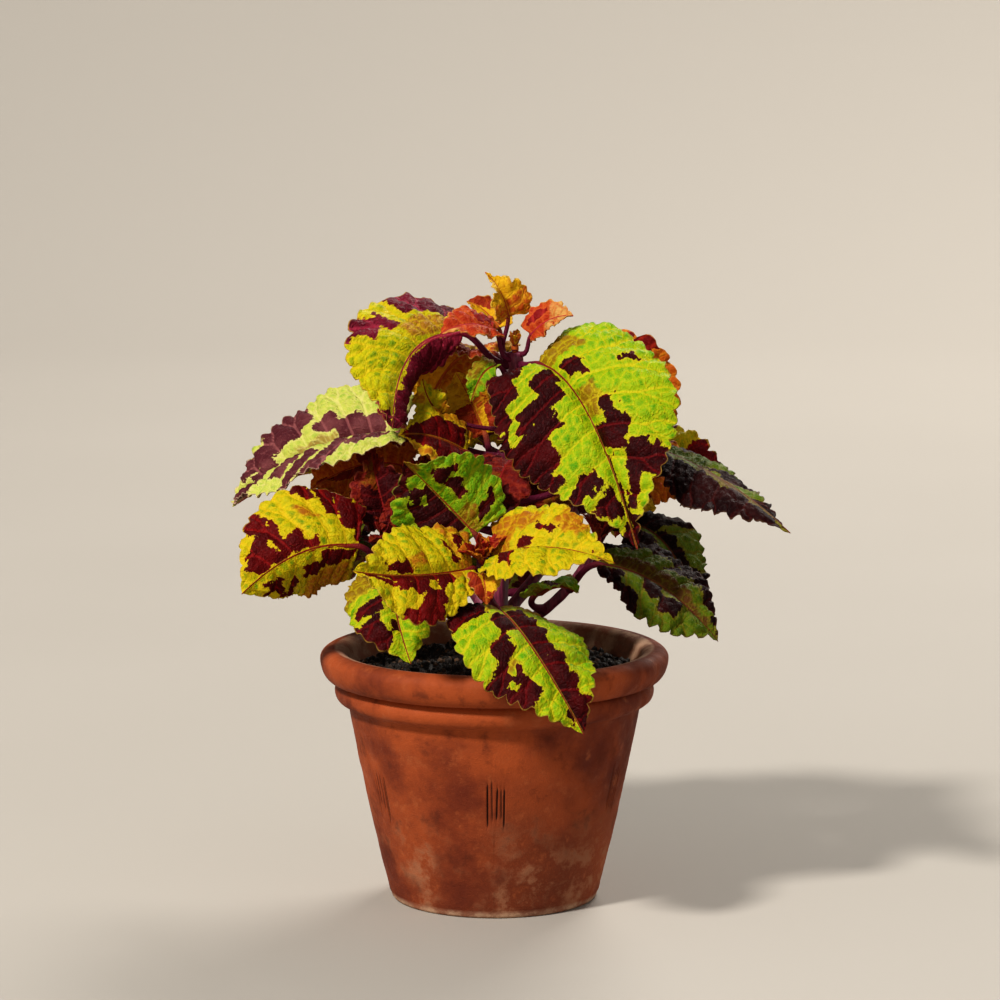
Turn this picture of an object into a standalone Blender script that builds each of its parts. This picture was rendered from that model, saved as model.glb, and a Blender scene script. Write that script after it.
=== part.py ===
"""A potted coleus: a branching plant with variegated leaves in a turned terracotta pot.

Metres, +Z up. The origin is the middle of the pot's foot, on the surface that it stands on. The plant's front
looks along -Y. Places along the plant are written in millimetres and scaled by MM.
"""

import random
from dataclasses import dataclass

import bmesh
import bpy
import numpy as np

MM = 0.001
GAP = 0.3

# Pot, in millimetres
POT_HEIGHT = 111.0
RIM_RADIUS = 76.2
RIM_WIDEST_Z = 106.4
ROLL_RADIUS = 6.0
ROLL_DROP = 9.2
BAND_RADIUS = 69.9
BAND_Z = 92.3
BAND_HALF_HEIGHT = 4.8
WALL_TOP_Z = 86.0
WALL_TOP_RADIUS = 64.1
WALL_FOOT_RADIUS = 45.4
WALL_BULGE = 2.6
FOOT_ROUND = 1.8
FLOOR_Z = 8.0
INNER_FOOT_RADIUS = 40.5
INNER_WALL_RADIUS = 58.6
DRAIN_RADIUS = 8.0
TURNED_SEGMENTS = 48

# Soil, in millimetres
SOIL_EDGE_Z = 101.0
SOIL_CROWN_Z = 104.0
STEM_HOLE_RADIUS = 4.95
STEM_HOLE_FLOOR_Z = 83.7
STEM_HOLE_DEPTH = 30.0
STEM_HOLE_SIDES = 24

# Leaves, in millimetres
BLADE = 0.8
RIB = 1.2
INNER_COLUMN = 0.55
VEIN_SWEEP = 1.5
COLUMN_SWEEP = 1.3
RIPPLES = 2.5
RING_ANGLES = np.radians((165, 90, 15, -50, -90, -130))
PETIOLE_STEP = 9.0

# Young shoots: each pair's length, width and angle from the shoot's axis
YOUNG_PAIRS = ((15, 9, 42), (10, 6, 22))
BUD_LENGTH = 5.5
BUD_RADIUS = 1.7
BUD_SIDES = 8
BUD_RINGS = 5

# Stems
STEM_SIDES = 8
SHOULDER = 0.08

GREEN = (0.36, 0.46, 0.03)
YELLOW = (0.62, 0.5, 0.03)
MAROON = (0.12, 0.01, 0.025)
RED = (0.42, 0.05, 0.02)
ORANGE = (0.6, 0.2, 0.02)
PALE = (0.5, 0.55, 0.25)
TERRACOTTA = (0.45, 0.16, 0.08)
EARTH = (0.03, 0.018, 0.012)
STEM_PURPLE = (0.16, 0.02, 0.05)


@dataclass
class Stem:
    """One tapering stem along a Bezier curve through its control points."""

    name: str
    controls: tuple
    foot_radius: float
    end_radius: float
    steps: int = 8

    def at(self, share):
        return bezier(self.controls, np.array([share]))[0]

    def tangent(self, share):
        before = max(share - 0.001, 0.0)
        after = min(share + 0.001, 1.0)
        return unit(self.at(after) - self.at(before))

    def radius(self, share):
        return self.foot_radius + (self.end_radius - self.foot_radius) * share

    def seat(self, share, toward):
        """The point GAP outside the stem's corner, facing toward, and the way out of the stem there."""
        centre = self.at(share)
        tangent = self.tangent(share)
        out = np.array(toward, float) - centre
        out = unit(out - tangent * (out @ tangent))
        return centre + out * (self.radius(share) * (1 + 1.5 * SHOULDER) + GAP), out


@dataclass
class Leaf:
    """One leaf: where its stalk leaves the stem, its midrib's curve, and how its two halves stand."""

    name: str
    stem: str
    share: float
    base: tuple
    arch: tuple
    tip: tuple
    width: float
    colour: tuple
    heading: float = None
    roll: float = 0.0
    fold: tuple = (8, 8)
    curl: tuple = (-20, -20)
    teeth: int = 7
    tooth: float = 0.055
    wide: tuple = (0.4, 0.4)
    sharp: float = 1.0
    lobe: tuple = (0.16, 0.16)
    wave: float = 1.5
    stalk: float = 1.5
    side: tuple = None


STEMS = (
    Stem("main", ((2, 4, 84), (2, 4, 130), (0, 6, 158), (12, 3, 195), (9, 1, 240)), 4.2, 2.2, 12),
    Stem("front", ((1, 4, 112), (0, -16, 128), (-4, -40, 138), (-5, -53, 156)), 2.8, 2.0),
    Stem("left", ((1, 4, 116), (-14, -2, 128), (-34, -12, 138), (-44, -22, 158)), 2.8, 2.0),
    Stem("right", ((2, 4, 114), (16, 0, 122), (34, -10, 134), (44, -12, 158)), 2.8, 2.0),
    Stem("back_left", ((1, 5, 118), (-8, 20, 130), (-24, 38, 150), (-30, 46, 176)), 2.8, 2.0),
    Stem("back_right", ((2, 5, 120), (12, 20, 132), (30, 36, 146), (38, 44, 172)), 2.8, 2.0),
)

LEAVES = (
    # The crown
    Leaf("leaf_crown_right", "main", 0.97, (19, -9, 236), (40, -42, 236), (60, -66, 164), 76, GREEN,
         heading=-78, roll=-6, fold=(46, -4), curl=(-62, -30), teeth=9, wide=(0.38, 0.38), sharp=1.2),
    Leaf("leaf_crown_left", "main", 0.97, (-14, 4, 248), (-43, -14, 252), (-43, -42, 212), 55, YELLOW,
         heading=-104, fold=(-65, 38), curl=(-120, -20), teeth=9, wide=(0.6, 0.44), sharp=0.8,
         lobe=(0, 0.52)),
    Leaf("leaf_crown_back", "main", 0.93, (0, 16, 238), (-18, 33, 246), (-32, 34, 208), 42, ORANGE,
         heading=115, teeth=8),
    Leaf("leaf_crown_back_right", "main", 0.90, (38, 20, 227), (62, 26, 231), (78, 30, 201), 44, ORANGE,
         heading=-60, roll=-20, teeth=8),
    # The second and third pairs on the main stem
    Leaf("leaf_second_left", "main", 0.72, (-40, 0, 205), (-78, 6, 205), (-116, 26, 169), 64, PALE,
         fold=(-8, 55), curl=(-20, -30), teeth=9, wide=(0.5, 0.42), sharp=0.8),
    Leaf("leaf_second_right", "main", 0.72, (56, -6, 203), (92, -34, 199), (123, -80, 173), 42, GREEN,
         roll=8, fold=(-2, -25), curl=(-20, -20), teeth=8, wide=(0.15, 0.58), sharp=1.6, lobe=(0.5, 0)),
    Leaf("leaf_second_back", "main", 0.82, (14, 34, 218), (22, 64, 226), (30, 90, 188), 58, GREEN, teeth=8),
    Leaf("leaf_third_back", "main", 0.72, (-4, 30, 196), (-20, 64, 206), (-32, 92, 180), 54, YELLOW, teeth=8),
    # Inside the crown
    Leaf("leaf_inner_left", "main", 0.69, (-12, -12, 198), (-26, -21, 209), (-41, -24, 207), 33, MAROON,
         roll=45, teeth=6),
    Leaf("leaf_inner_front", "main", 0.64, (7, -13, 194), (4, -28, 198), (-3, -34, 170), 34, MAROON,
         teeth=6),
    Leaf("leaf_inner_red_left", "main", 0.60, (-38, 14, 188), (-58, 22, 194), (-82, 26, 176), 42, RED,
         roll=50, teeth=7),
    Leaf("leaf_inner_red_right", "main", 0.60, (46, 14, 186), (70, 22, 192), (98, 20, 176), 34, RED,
         roll=-50, teeth=7),
    Leaf("leaf_inner_middle", "main", 0.50, (-22, 4, 172), (-38, 6, 184), (-50, 8, 172), 30, ORANGE, teeth=6),
    Leaf("leaf_inner_back", "main", 0.66, (-4, 12, 203), (-9, 15, 216), (-17, 16, 230), 30, ORANGE,
         heading=90, teeth=5),
    Leaf("leaf_inner_high", "main", 0.80, (-22, -2, 213), (-29, -3, 217), (-31, -4, 229), 14, YELLOW,
         heading=90, teeth=4, wave=1.0, stalk=1.0),
    Leaf("leaf_inner_small", "main", 0.93, (1, -7, 235), (-6, -10, 235), (-10, -12, 220), 11, GREEN,
         heading=-90, teeth=4, wave=1.0, stalk=1.0),
    Leaf("leaf_inner_low", "main", 0.44, (13, 14, 166), (15, 16, 181), (21, 16, 199), 38, MAROON,
         heading=90, teeth=5),
    Leaf("leaf_right_up", "main", 0.78, (56, 36, 194), (80, 40, 199), (103, 38, 183), 20, YELLOW,
         roll=-60, fold=(5, 5), curl=(-20, -20), teeth=5),
    # The left shoot
    Leaf("leaf_left_out", "left", 0.93, (-58, -31, 160), (-82, -40, 166), (-107, -48, 142), 58, YELLOW,
         roll=55, fold=(-62, 5), curl=(-30, -20)),
    Leaf("leaf_left_up", "left", 0.97, (-46, -14, 168), (-51, -14, 184), (-53, -8, 198), 25, MAROON,
         heading=90, fold=(20, 20), curl=(-10, -10), teeth=5),
    Leaf("leaf_left_low", "left", 0.60, (-44, -34, 150), (-44, -56, 140), (-35, -64, 115), 40, GREEN,
         heading=-90, fold=(5, 5), curl=(-40, -40)),
    Leaf("leaf_left_back", "left", 0.90, (-56, -8, 160), (-78, 4, 164), (-96, 14, 146), 46, GREEN, roll=20),
    Leaf("leaf_left_under", "left", 0.35, (-34, 10, 132), (-50, 16, 142), (-61, 20, 129), 34, MAROON),
    # The front shoot
    Leaf("leaf_front_left", "front", 0.95, (-9, -59, 155), (-34, -80, 153), (-58, -92, 159), 46, YELLOW,
         roll=60, fold=(27, 10), curl=(-40, -40), wide=(0.55, 0.4), sharp=0.7, lobe=(0, 0.2)),
    Leaf("leaf_front_up", "front", 0.95, (-8, -49, 168), (-24, -46, 185), (-38, -56, 200), 48, GREEN,
         heading=95, curl=(-40, -40)),
    Leaf("leaf_front_right", "front", 0.95, (-1, -58, 159), (20, -75, 172), (50, -84, 161), 46, YELLOW,
         roll=-50, fold=(0, 34), wide=(0.3, 0.42), lobe=(0.16, 0.05)),
    Leaf("leaf_front_down", "front", 0.86, (1, -63, 139), (12, -96, 138), (37, -104, 93), 55, GREEN,
         heading=-85, roll=10, fold=(5, 0), curl=(-50, -30), teeth=8, wide=(0.4, 0.36), lobe=(0.1, 0.16)),
    Leaf("leaf_front_small", "front", 0.97, (-5, -64, 153), (-4, -73, 155), (-3, -74, 142), 13, YELLOW,
         heading=-90, teeth=4, wave=1.0, stalk=1.0),
    # The right shoot
    Leaf("leaf_right_low", "right", 0.70, (45, -30, 152), (72, -44, 152), (95, -50, 122), 44, MAROON,
         roll=-28, fold=(0, 8), wide=(0.4, 0.55), lobe=(0.16, 0)),
    Leaf("leaf_right_back_low", "right", 0.90, (54, 2, 165), (76, -4, 168), (88, -14, 130), 36, MAROON,
         heading=-50, roll=-10, fold=(5, 5), curl=(-30, -30)),
    Leaf("leaf_right_inner", "right", 0.45, (18, -24, 138), (27, -34, 148), (36, -38, 141), 24, GREEN,
         teeth=5),
    Leaf("leaf_right_back", "right", 0.60, (46, 12, 148), (66, 26, 154), (80, 38, 134), 38, GREEN),
    # The back shoots
    Leaf("leaf_back_left_out", "back_left", 0.93, (-54, 54, 180), (-88, 78, 186), (-120, 104, 159), 54,
         YELLOW),
    Leaf("leaf_back_left", "back_left", 0.90, (-34, 60, 172), (-42, 80, 174), (-48, 98, 142), 50, GREEN),
    Leaf("leaf_back_left_low", "back_left", 0.60, (-32, 44, 146), (-54, 60, 156), (-66, 76, 128), 44, MAROON),
    Leaf("leaf_back_right_out", "back_right", 0.93, (50, 48, 176), (70, 58, 188), (86, 68, 164), 46, GREEN),
    Leaf("leaf_back_right", "back_right", 0.90, (42, 56, 170), (52, 80, 176), (56, 98, 144), 50, YELLOW),
    Leaf("leaf_back_right_low", "back_right", 0.55, (16, 42, 140), (12, 68, 146), (2, 88, 114), 46, GREEN),
    Leaf("leaf_back_low", "back_right", 0.30, (-10, 40, 128), (-20, 60, 136), (-30, 80, 114), 38, MAROON),
    # The youngest open leaves at the top
    Leaf("leaf_top_right", "main", 0.995, (16, -2, 248), (23, -5, 257), (34, -10, 257), 18, RED,
         heading=0, roll=-55, fold=(0, 35), curl=(-10, -10), teeth=5, wave=1.0, stalk=1.0),
    Leaf("leaf_top_up", "main", 0.995, (6, 0, 256), (4, -2, 268), (-4, 0, 275), 23, ORANGE,
         heading=105, fold=(50, 0), curl=(-10, -10), teeth=5, wide=(0.3, 0.3), sharp=2.4, wave=1.0,
         stalk=1.0),
    Leaf("leaf_top_left", "main", 0.985, (0, -4, 250), (-10, -12, 257), (-23, -18, 250), 20, RED,
         roll=25, fold=(0, 10), curl=(-10, -10), teeth=5, wave=1.0, stalk=1.0),
    Leaf("leaf_top_back", "main", 0.985, (2, 6, 250), (-4, 14, 259), (-12, 14, 261), 18, ORANGE,
         heading=100, fold=(10, 10), curl=(-10, -10), teeth=5, wave=1.0, stalk=1.0),
)

# Young shoots: name, stem, the way that the shoot looks, its turn about that, the size of its leaves, colour
SHOOTS = (
    ("shoot_top", "main", (0, -0.1, 1), 75, 0.5, ORANGE),
    ("shoot_front", "front", (0, -0.55, 0.8), 20, 1.0, RED),
    ("shoot_left", "left", (-0.3, -0.4, 0.85), 60, 0.95, MAROON),
    ("shoot_right", "right", (0.3, -0.1, 0.9), 20, 0.95, MAROON),
    ("shoot_back_left", "back_left", (-0.2, 0.2, 0.9), 20, 0.95, ORANGE),
    ("shoot_back_right", "back_right", (0.2, 0.2, 0.9), 20, 0.95, RED),
)


def unit(vector):
    vector = np.asarray(vector, float)
    return vector / np.maximum(np.linalg.norm(vector, axis=-1, keepdims=True), 1e-12)


def bezier(controls, shares):
    """The points of a Bezier curve of any degree, at the given shares."""
    points = [np.asarray(control, float) for control in controls]
    shares = np.asarray(shares, float)[..., None]
    while len(points) > 1:
        points = [a * (1 - shares) + b * shares for a, b in zip(points, points[1:])]
    return points[0]


def arc(centre, radii, first, last, count):
    """Points of an ellipse's arc, in the r-z plane, from the angle first to the angle last in degrees."""
    angles = np.radians(np.linspace(first, last, count))
    return [(centre[0] + radii[0] * np.cos(a), centre[1] + radii[1] * np.sin(a)) for a in angles]


def clear_scene():
    for scene_object in list(bpy.data.objects):
        bpy.data.objects.remove(scene_object, do_unlink=True)


def surface(name, colour, roughness=0.6):
    """A plain Principled material."""
    material = bpy.data.materials.new(name)
    material.use_nodes = True
    shader = material.node_tree.nodes["Principled BSDF"]
    shader.inputs["Base Color"].default_value = (*colour, 1.0)
    shader.inputs["Roughness"].default_value = roughness
    shader.inputs["Metallic"].default_value = 0.0
    return material


def add_object(name, mesh, colour, roughness=0.6):
    new = bpy.data.objects.new(name, mesh)
    bpy.context.scene.collection.objects.link(new)
    new.data.materials.clear()
    new.data.materials.append(surface(name + "_surface", colour, roughness))
    return new


def mesh_of(name, points, faces):
    """A Blender mesh from points in millimetres, with its faces turned outwards."""
    mesh = bpy.data.meshes.new(name)
    corners = [tuple(point) for point in np.asarray(points) * MM]
    mesh.from_pydata(corners, [], [tuple(int(corner) for corner in face) for face in faces])
    shell = bmesh.new()
    shell.from_mesh(mesh)
    bmesh.ops.recalc_face_normals(shell, faces=shell.faces)
    shell.to_mesh(mesh)
    shell.free()
    mesh.shade_smooth()
    mesh.set_sharp_from_angle(angle=np.radians(50))
    return mesh


def turned(name, profile, closed):
    """A mesh turned about Z from a profile of (radius, height), closed in itself or ending on the axis."""
    shell = bmesh.new()
    corners = [shell.verts.new((radius * MM, 0, height * MM)) for radius, height in profile]
    edges = [shell.edges.new(pair) for pair in zip(corners, corners[1:])]
    if closed:
        edges.append(shell.edges.new((corners[-1], corners[0])))
    bmesh.ops.spin(
        shell, geom=corners + edges, cent=(0, 0, 0), axis=(0, 0, 1), angle=2 * np.pi,
        steps=TURNED_SEGMENTS, use_merge=True, use_duplicate=False,
    )
    bmesh.ops.remove_doubles(shell, verts=shell.verts, dist=1e-6)
    bmesh.ops.recalc_face_normals(shell, faces=shell.faces)
    mesh = bpy.data.meshes.new(name)
    shell.to_mesh(mesh)
    shell.free()
    mesh.shade_smooth()
    mesh.set_sharp_from_angle(angle=np.radians(35))
    return mesh


def fuse(name, parts, colour, roughness=0.6):
    """One object from overlapping closed parts, joined by a Boolean union."""
    sources = bpy.data.collections.new(name + "_parts")
    bpy.context.scene.collection.children.link(sources)
    body = add_object(name, parts[0], colour, roughness)
    for number, part in enumerate(parts[1:]):
        source = bpy.data.objects.new(f"{name}_part_{number}", part)
        sources.objects.link(source)
    union = body.modifiers.new("Union", "BOOLEAN")
    union.operation = "UNION"
    union.solver = "EXACT"
    union.operand_type = "COLLECTION"
    union.collection = sources
    graph = bpy.context.evaluated_depsgraph_get()
    joined = bpy.data.meshes.new_from_object(body.evaluated_get(graph))
    body.modifiers.remove(union)
    material = body.data.materials[0]
    body.data = joined
    joined.materials.clear()
    joined.materials.append(material)
    for source in list(sources.objects):
        bpy.data.objects.remove(source, do_unlink=True)
    bpy.data.collections.remove(sources)
    return body


def wall_radius(height):
    """The pot's outer wall: a straight taper with a slight belly."""
    share = height / WALL_TOP_Z
    taper = (WALL_TOP_RADIUS - WALL_FOOT_RADIUS) * share
    return WALL_FOOT_RADIUS + taper + WALL_BULGE * share * (1 - share)


def inner_radius(height):
    share = (height - FLOOR_Z) / (WALL_TOP_Z - FLOOR_Z)
    return INNER_FOOT_RADIUS + (INNER_WALL_RADIUS - INNER_FOOT_RADIUS) * share


def make_pot():
    """The turned pot: foot, tapered wall, band, rolled rim, and a floor with its drain hole."""
    roll_centre = (RIM_RADIUS - ROLL_RADIUS, RIM_WIDEST_Z)
    roll_rise = POT_HEIGHT - RIM_WIDEST_Z
    profile = [(DRAIN_RADIUS, 0.0), (WALL_FOOT_RADIUS - FOOT_ROUND, 0.0)]
    profile += [(wall_radius(height), height) for height in (FOOT_ROUND, 24.0, 46.0, 66.0, WALL_TOP_Z)]
    profile += arc((BAND_RADIUS - 3.5, BAND_Z), (3.5, BAND_HALF_HEIGHT), -70, 62, 4)
    profile += arc(roll_centre, (ROLL_RADIUS, ROLL_DROP), -82, 0, 4)
    profile += arc(roll_centre, (ROLL_RADIUS, roll_rise), 28, 180, 6)
    profile += [(inner_radius(WALL_TOP_Z), WALL_TOP_Z), (inner_radius(FLOOR_Z + 2), FLOOR_Z + 2)]
    profile += [(INNER_FOOT_RADIUS - 2, FLOOR_Z), (DRAIN_RADIUS, FLOOR_Z)]
    return add_object("pot", turned("pot", profile, closed=True), TERRACOTTA, roughness=0.85)


def make_soil():
    """The soil: a domed filling GAP inside the pot, with the plain hole that the main stem stands in."""
    floor = FLOOR_Z + GAP
    profile = [(0.0, floor), (INNER_FOOT_RADIUS - 2 - GAP, floor), (inner_radius(floor + 2) - GAP, floor + 2)]
    profile += [(inner_radius(WALL_TOP_Z) - GAP, WALL_TOP_Z), (inner_radius(SOIL_EDGE_Z) - GAP, SOIL_EDGE_Z)]
    profile += [(38.0, SOIL_EDGE_Z + 2.2), (0.0, SOIL_CROWN_Z)]
    soil = add_object("soil", turned("soil", profile, closed=False), EARTH, roughness=1.0)
    foot = STEMS[0].controls[0]
    drill = bmesh.new()
    bmesh.ops.create_cone(
        drill, cap_ends=True, segments=STEM_HOLE_SIDES, radius1=STEM_HOLE_RADIUS * MM,
        radius2=STEM_HOLE_RADIUS * MM, depth=STEM_HOLE_DEPTH * MM,
    )
    middle = (foot[0], foot[1], STEM_HOLE_FLOOR_Z + STEM_HOLE_DEPTH / 2)
    bmesh.ops.translate(drill, verts=drill.verts, vec=[place * MM for place in middle])
    drill_mesh = bpy.data.meshes.new("stem_hole")
    drill.to_mesh(drill_mesh)
    drill.free()
    cutter = bpy.data.objects.new("stem_hole", drill_mesh)
    bpy.context.scene.collection.objects.link(cutter)
    cutter.hide_render = True
    cutter.display_type = "WIRE"
    hole = soil.modifiers.new("Stem hole", "BOOLEAN")
    hole.operation = "DIFFERENCE"
    hole.solver = "EXACT"
    hole.object = cutter
    return soil


def stem_mesh(stem):
    """A square-shouldered tube: eight points a ring, every other one a little further out."""
    points = []
    faces = []
    across = np.array([1.0, 0.2, 0.0])
    for share in np.linspace(0, 1, stem.steps + 1):
        tangent = stem.tangent(share)
        across = unit(across - tangent * (across @ tangent))
        beside = np.cross(tangent, across)
        for corner in range(STEM_SIDES):
            angle = 2 * np.pi * (corner + 0.5) / STEM_SIDES
            reach = stem.radius(share) * (1 + SHOULDER if corner % 2 == 0 else 1 - SHOULDER)
            points.append(stem.at(share) + (across * np.cos(angle) + beside * np.sin(angle)) * reach)
    for ring in range(stem.steps):
        for corner in range(STEM_SIDES):
            after = (corner + 1) % STEM_SIDES
            low, high = ring * STEM_SIDES, (ring + 1) * STEM_SIDES
            faces.append((low + corner, low + after, high + after, high + corner))
    faces.append(tuple(range(STEM_SIDES))[::-1])
    faces.append(tuple(stem.steps * STEM_SIDES + corner for corner in range(STEM_SIDES)))
    return mesh_of("stem_" + stem.name, points, faces)


def make_stem():
    """The whole branching stem as one body."""
    return fuse("stem", [stem_mesh(stem) for stem in STEMS], STEM_PURPLE, roughness=0.5)


def half_of(hand):
    """The place of a leaf's half in its pairs of values: the left half, hand -1, comes first."""
    return 0 if hand < 0 else 1


class Midrib:
    """The curve of a leaf's midrib, read by its share of the length."""

    def __init__(self, leaf):
        self.controls = [np.array(point, float) for point in (leaf.base, leaf.arch, leaf.tip)]
        self.shares = np.linspace(0, 1, 200)
        points = bezier(self.controls, self.shares)
        steps = np.linalg.norm(np.diff(points, axis=0), axis=1)
        self.travel = np.concatenate([[0], np.cumsum(steps)])
        self.length = self.travel[-1]
        self.roll = np.radians(leaf.roll)
        if leaf.side is not None:
            self.side = np.array(leaf.side, float)
        else:
            run = self.controls[2] - self.controls[0]
            heading = np.arctan2(run[1], run[0]) if leaf.heading is None else np.radians(leaf.heading)
            self.side = np.array([np.sin(heading), -np.cos(heading), 0.0])

    def frame(self, along):
        """Point, tangent, side and upward normal. Below 0 the curve goes on straight."""
        along = np.asarray(along, float)
        share = np.interp(np.clip(along, 0, 1) * self.length, self.travel, self.shares)
        base, arch, tip = self.controls
        late = share[..., None]
        tangent = unit(2 * (1 - late) * (arch - base) + 2 * late * (tip - arch))
        point = bezier(self.controls, share) + tangent * (np.minimum(along, 0) * self.length)[..., None]
        side = unit(self.side - tangent * (tangent @ self.side)[..., None])
        normal = np.cross(side, tangent)
        turned_side = side * np.cos(self.roll) + normal * np.sin(self.roll)
        turned_normal = normal * np.cos(self.roll) - side * np.sin(self.roll)
        return point, tangent, turned_side, turned_normal


class Blade:
    """A leaf's blade as a bent sheet: a row is a share of the margin, reach the share of the way to it."""

    def __init__(self, leaf):
        self.leaf = leaf
        self.midrib = Midrib(leaf)

    def margin(self, row, hand):
        """The margin's distance from the midrib, in millimetres."""
        skew = np.log(0.5) / np.log(self.leaf.wide[half_of(hand)])
        wide = self.leaf.width / 2 * np.sin(np.pi * np.clip(row, 0, 1) ** skew)
        wide = np.maximum(wide, 0) ** (0.5 + 0.75 * self.leaf.sharp * row)
        wide = wide * (self.leaf.width / 2) ** (0.5 - 0.75 * self.leaf.sharp * row)
        neck = 0.82 * self.leaf.stalk * (1 - np.clip(row * 12, 0, 1))
        return np.maximum(wide, neck)

    def flat(self, row, reach, hand, toothed):
        """Where a row's point lies on the flat blade: share of the length, distance from the midrib."""
        leaf = self.leaf
        out = self.margin(row, hand)
        if toothed:
            scallop = np.abs(np.sin(np.pi * leaf.teeth * row)) ** 0.8 - 0.35
            out = out + leaf.tooth * leaf.width * scallop * reach ** 6 * np.sin(np.pi * row) ** 0.5
        root = row ** VEIN_SWEEP
        along = root + (row - root) * reach ** COLUMN_SWEEP
        along = along - leaf.lobe[half_of(hand)] * reach ** 2 * (1 - row) ** 5 * np.minimum(1, row * 14)
        return along, out * reach

    def place(self, along, out, hand, reach):
        """The bent sheet's points, hand -1 on the left half and 1 on the right."""
        leaf = self.leaf
        fold = np.radians(leaf.fold[half_of(hand)])
        bend = np.radians(leaf.curl[half_of(hand)]) / (leaf.width / 2)
        point, tangent, side, normal = self.midrib.frame(along)
        angle = fold + bend * out
        sideways = (np.sin(angle) - np.sin(fold)) / bend
        upwards = (np.cos(fold) - np.cos(angle)) / bend
        sheet = point + side * (hand * sideways)[..., None] + normal * upwards[..., None]
        facing = normal * np.cos(angle)[..., None] - side * (hand * np.sin(angle))[..., None]
        phase = sum(leaf.base) + (0.9 if hand > 0 else 0.0)
        ripple = leaf.wave * reach ** 2 * np.sin(2 * np.pi * RIPPLES * along + phase)
        ripple = ripple * np.sin(np.pi * np.clip(along, 0, 1)) ** 0.4
        return sheet + facing * ripple[..., None]


def zipper(near, near_rows, far, far_rows):
    """Triangles between two lines of points, each step taken on the line whose next row comes first."""
    faces = []
    i = 0
    j = 0
    while i < len(near) - 1 or j < len(far) - 1:
        step_near = j == len(far) - 1 or (i < len(near) - 1 and near_rows[i + 1] <= far_rows[j + 1] + 1e-9)
        corners = (near[i], near[i + 1], far[j]) if step_near else (near[i], far[j + 1], far[j])
        if len(set(corners)) == 3:
            faces.append(corners)
        i += step_near
        j += not step_near
    return faces


def sheet_of(leaf, inner_column=True):
    """The blade's middle surface: points, triangles, the midrib's points, each margin's first, the blade."""
    blade = Blade(leaf)
    rows = np.linspace(0, 1, leaf.teeth + 1)
    margin_rows = np.linspace(0, 1, 2 * leaf.teeth + 1)
    rib = list(range(len(rows)))
    points = list(blade.midrib.frame(rows ** VEIN_SWEEP)[0])
    faces = []
    first = []
    for hand in (-1, 1):
        lines = [(rib, rows)]
        columns = ((rows[1:-1], INNER_COLUMN, False),) if inner_column else ()
        for line_rows, reach, toothed in (*columns, (margin_rows[:-1], 1.0, True)):
            share = np.full(len(line_rows), reach)
            along, out = blade.flat(line_rows, share, hand, toothed)
            new = blade.place(along, out, hand, share)
            index = [len(points) + number for number in range(len(new))]
            points.extend(new)
            lines.append((index + [rib[-1]], np.append(line_rows, 1.0)))
        half = []
        for near, far in zip(lines, lines[1:]):
            half += zipper(*near, *far)
        starts = [line[0][0] for line in lines[1:]]
        half += [(rib[0], a, b) for a, b in zip(starts, starts[1:])]
        faces += half if hand < 0 else [face[::-1] for face in half]
        first.append(lines[-1][0][0])
    return np.array(points), np.array(faces), rib, first, blade


def point_normals(points, faces):
    normals = np.zeros_like(points)
    area = np.cross(points[faces[:, 1]] - points[faces[:, 0]], points[faces[:, 2]] - points[faces[:, 0]])
    for corner in range(3):
        np.add.at(normals, faces[:, corner], area)
    return unit(normals)


def leaf_mesh(leaf, seat, rise, inner_column=True, rib=RIB):
    """A closed leaf: a blade of even thickness, its midrib standing out below, and the stalk to its seat."""
    points, faces, rib_line, first, blade = sheet_of(leaf, inner_column)
    normals = point_normals(points, faces)
    if normals[rib_line[1]] @ blade.midrib.frame(np.array([0.0]))[3][0] < 0:
        normals = -normals
        faces = faces[:, ::-1]
    above = np.full(len(points), BLADE / 2)
    below = np.full(len(points), BLADE / 2)
    along = np.linspace(0, 1, len(rib_line)) ** VEIN_SWEEP
    above[rib_line] = np.maximum(BLADE / 2, 0.45 * leaf.stalk * (1 - 4 * along))
    below[rib_line] = BLADE / 2 + rib * (1 - along)
    count = len(points)
    corners = list(points + normals * above[:, None]) + list(points - normals * below[:, None])
    shell = [tuple(face) for face in faces] + [tuple(face[::-1] + count) for face in faces]
    left, middle, right = first[0], rib_line[0], first[1]
    edges = {(int(a), int(b)) for face in faces for a, b in zip(face, np.roll(face, -1))}
    mouth = {left, middle, right}
    for a, b in edges:
        if (b, a) not in edges and not {a, b} <= mouth:
            shell += [(b, a, a + count), (b, a + count, b + count)]
    ring = [left, middle, right, right + count, middle + count, left + count]
    shell += stalk_faces(leaf, blade.midrib, seat, rise, corners, ring)
    return mesh_of(leaf.name, corners, shell)


def stalk_faces(leaf, midrib, seat, rise, corners, ring):
    """Adds the stalk's rings to the corners, and returns its faces from the blade's mouth to the seat."""
    mouth, tangent, across, _ = (part[0] for part in midrib.frame(np.array([0.0])))
    span = np.linalg.norm(mouth - seat)
    controls = (seat, seat + rise * span * 0.4, mouth - tangent * span * 0.35, mouth)
    steps = max(1, round(span / PETIOLE_STEP))
    faces = []
    for share in np.linspace(0, 1, steps + 2)[-2::-1]:
        near = bezier(controls, np.array([max(share - 0.001, 0), min(share + 0.001, 1)]))
        tangent = unit(near[1] - near[0])
        across = unit(across - tangent * (across @ tangent))
        beside = np.cross(across, tangent)
        radius = leaf.stalk * (1.05 - 0.25 * share)
        centre = bezier(controls, np.array([share]))[0]
        index = [len(corners) + number for number in range(len(RING_ANGLES))]
        corners.extend(centre + (across * np.cos(a) + beside * np.sin(a)) * radius for a in RING_ANGLES)
        for here in range(len(ring)):
            after = (here + 1) % len(ring)
            faces += [(ring[here], ring[after], index[after]), (ring[here], index[after], index[here])]
        ring = index
    faces.append(tuple(ring))
    return faces


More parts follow.
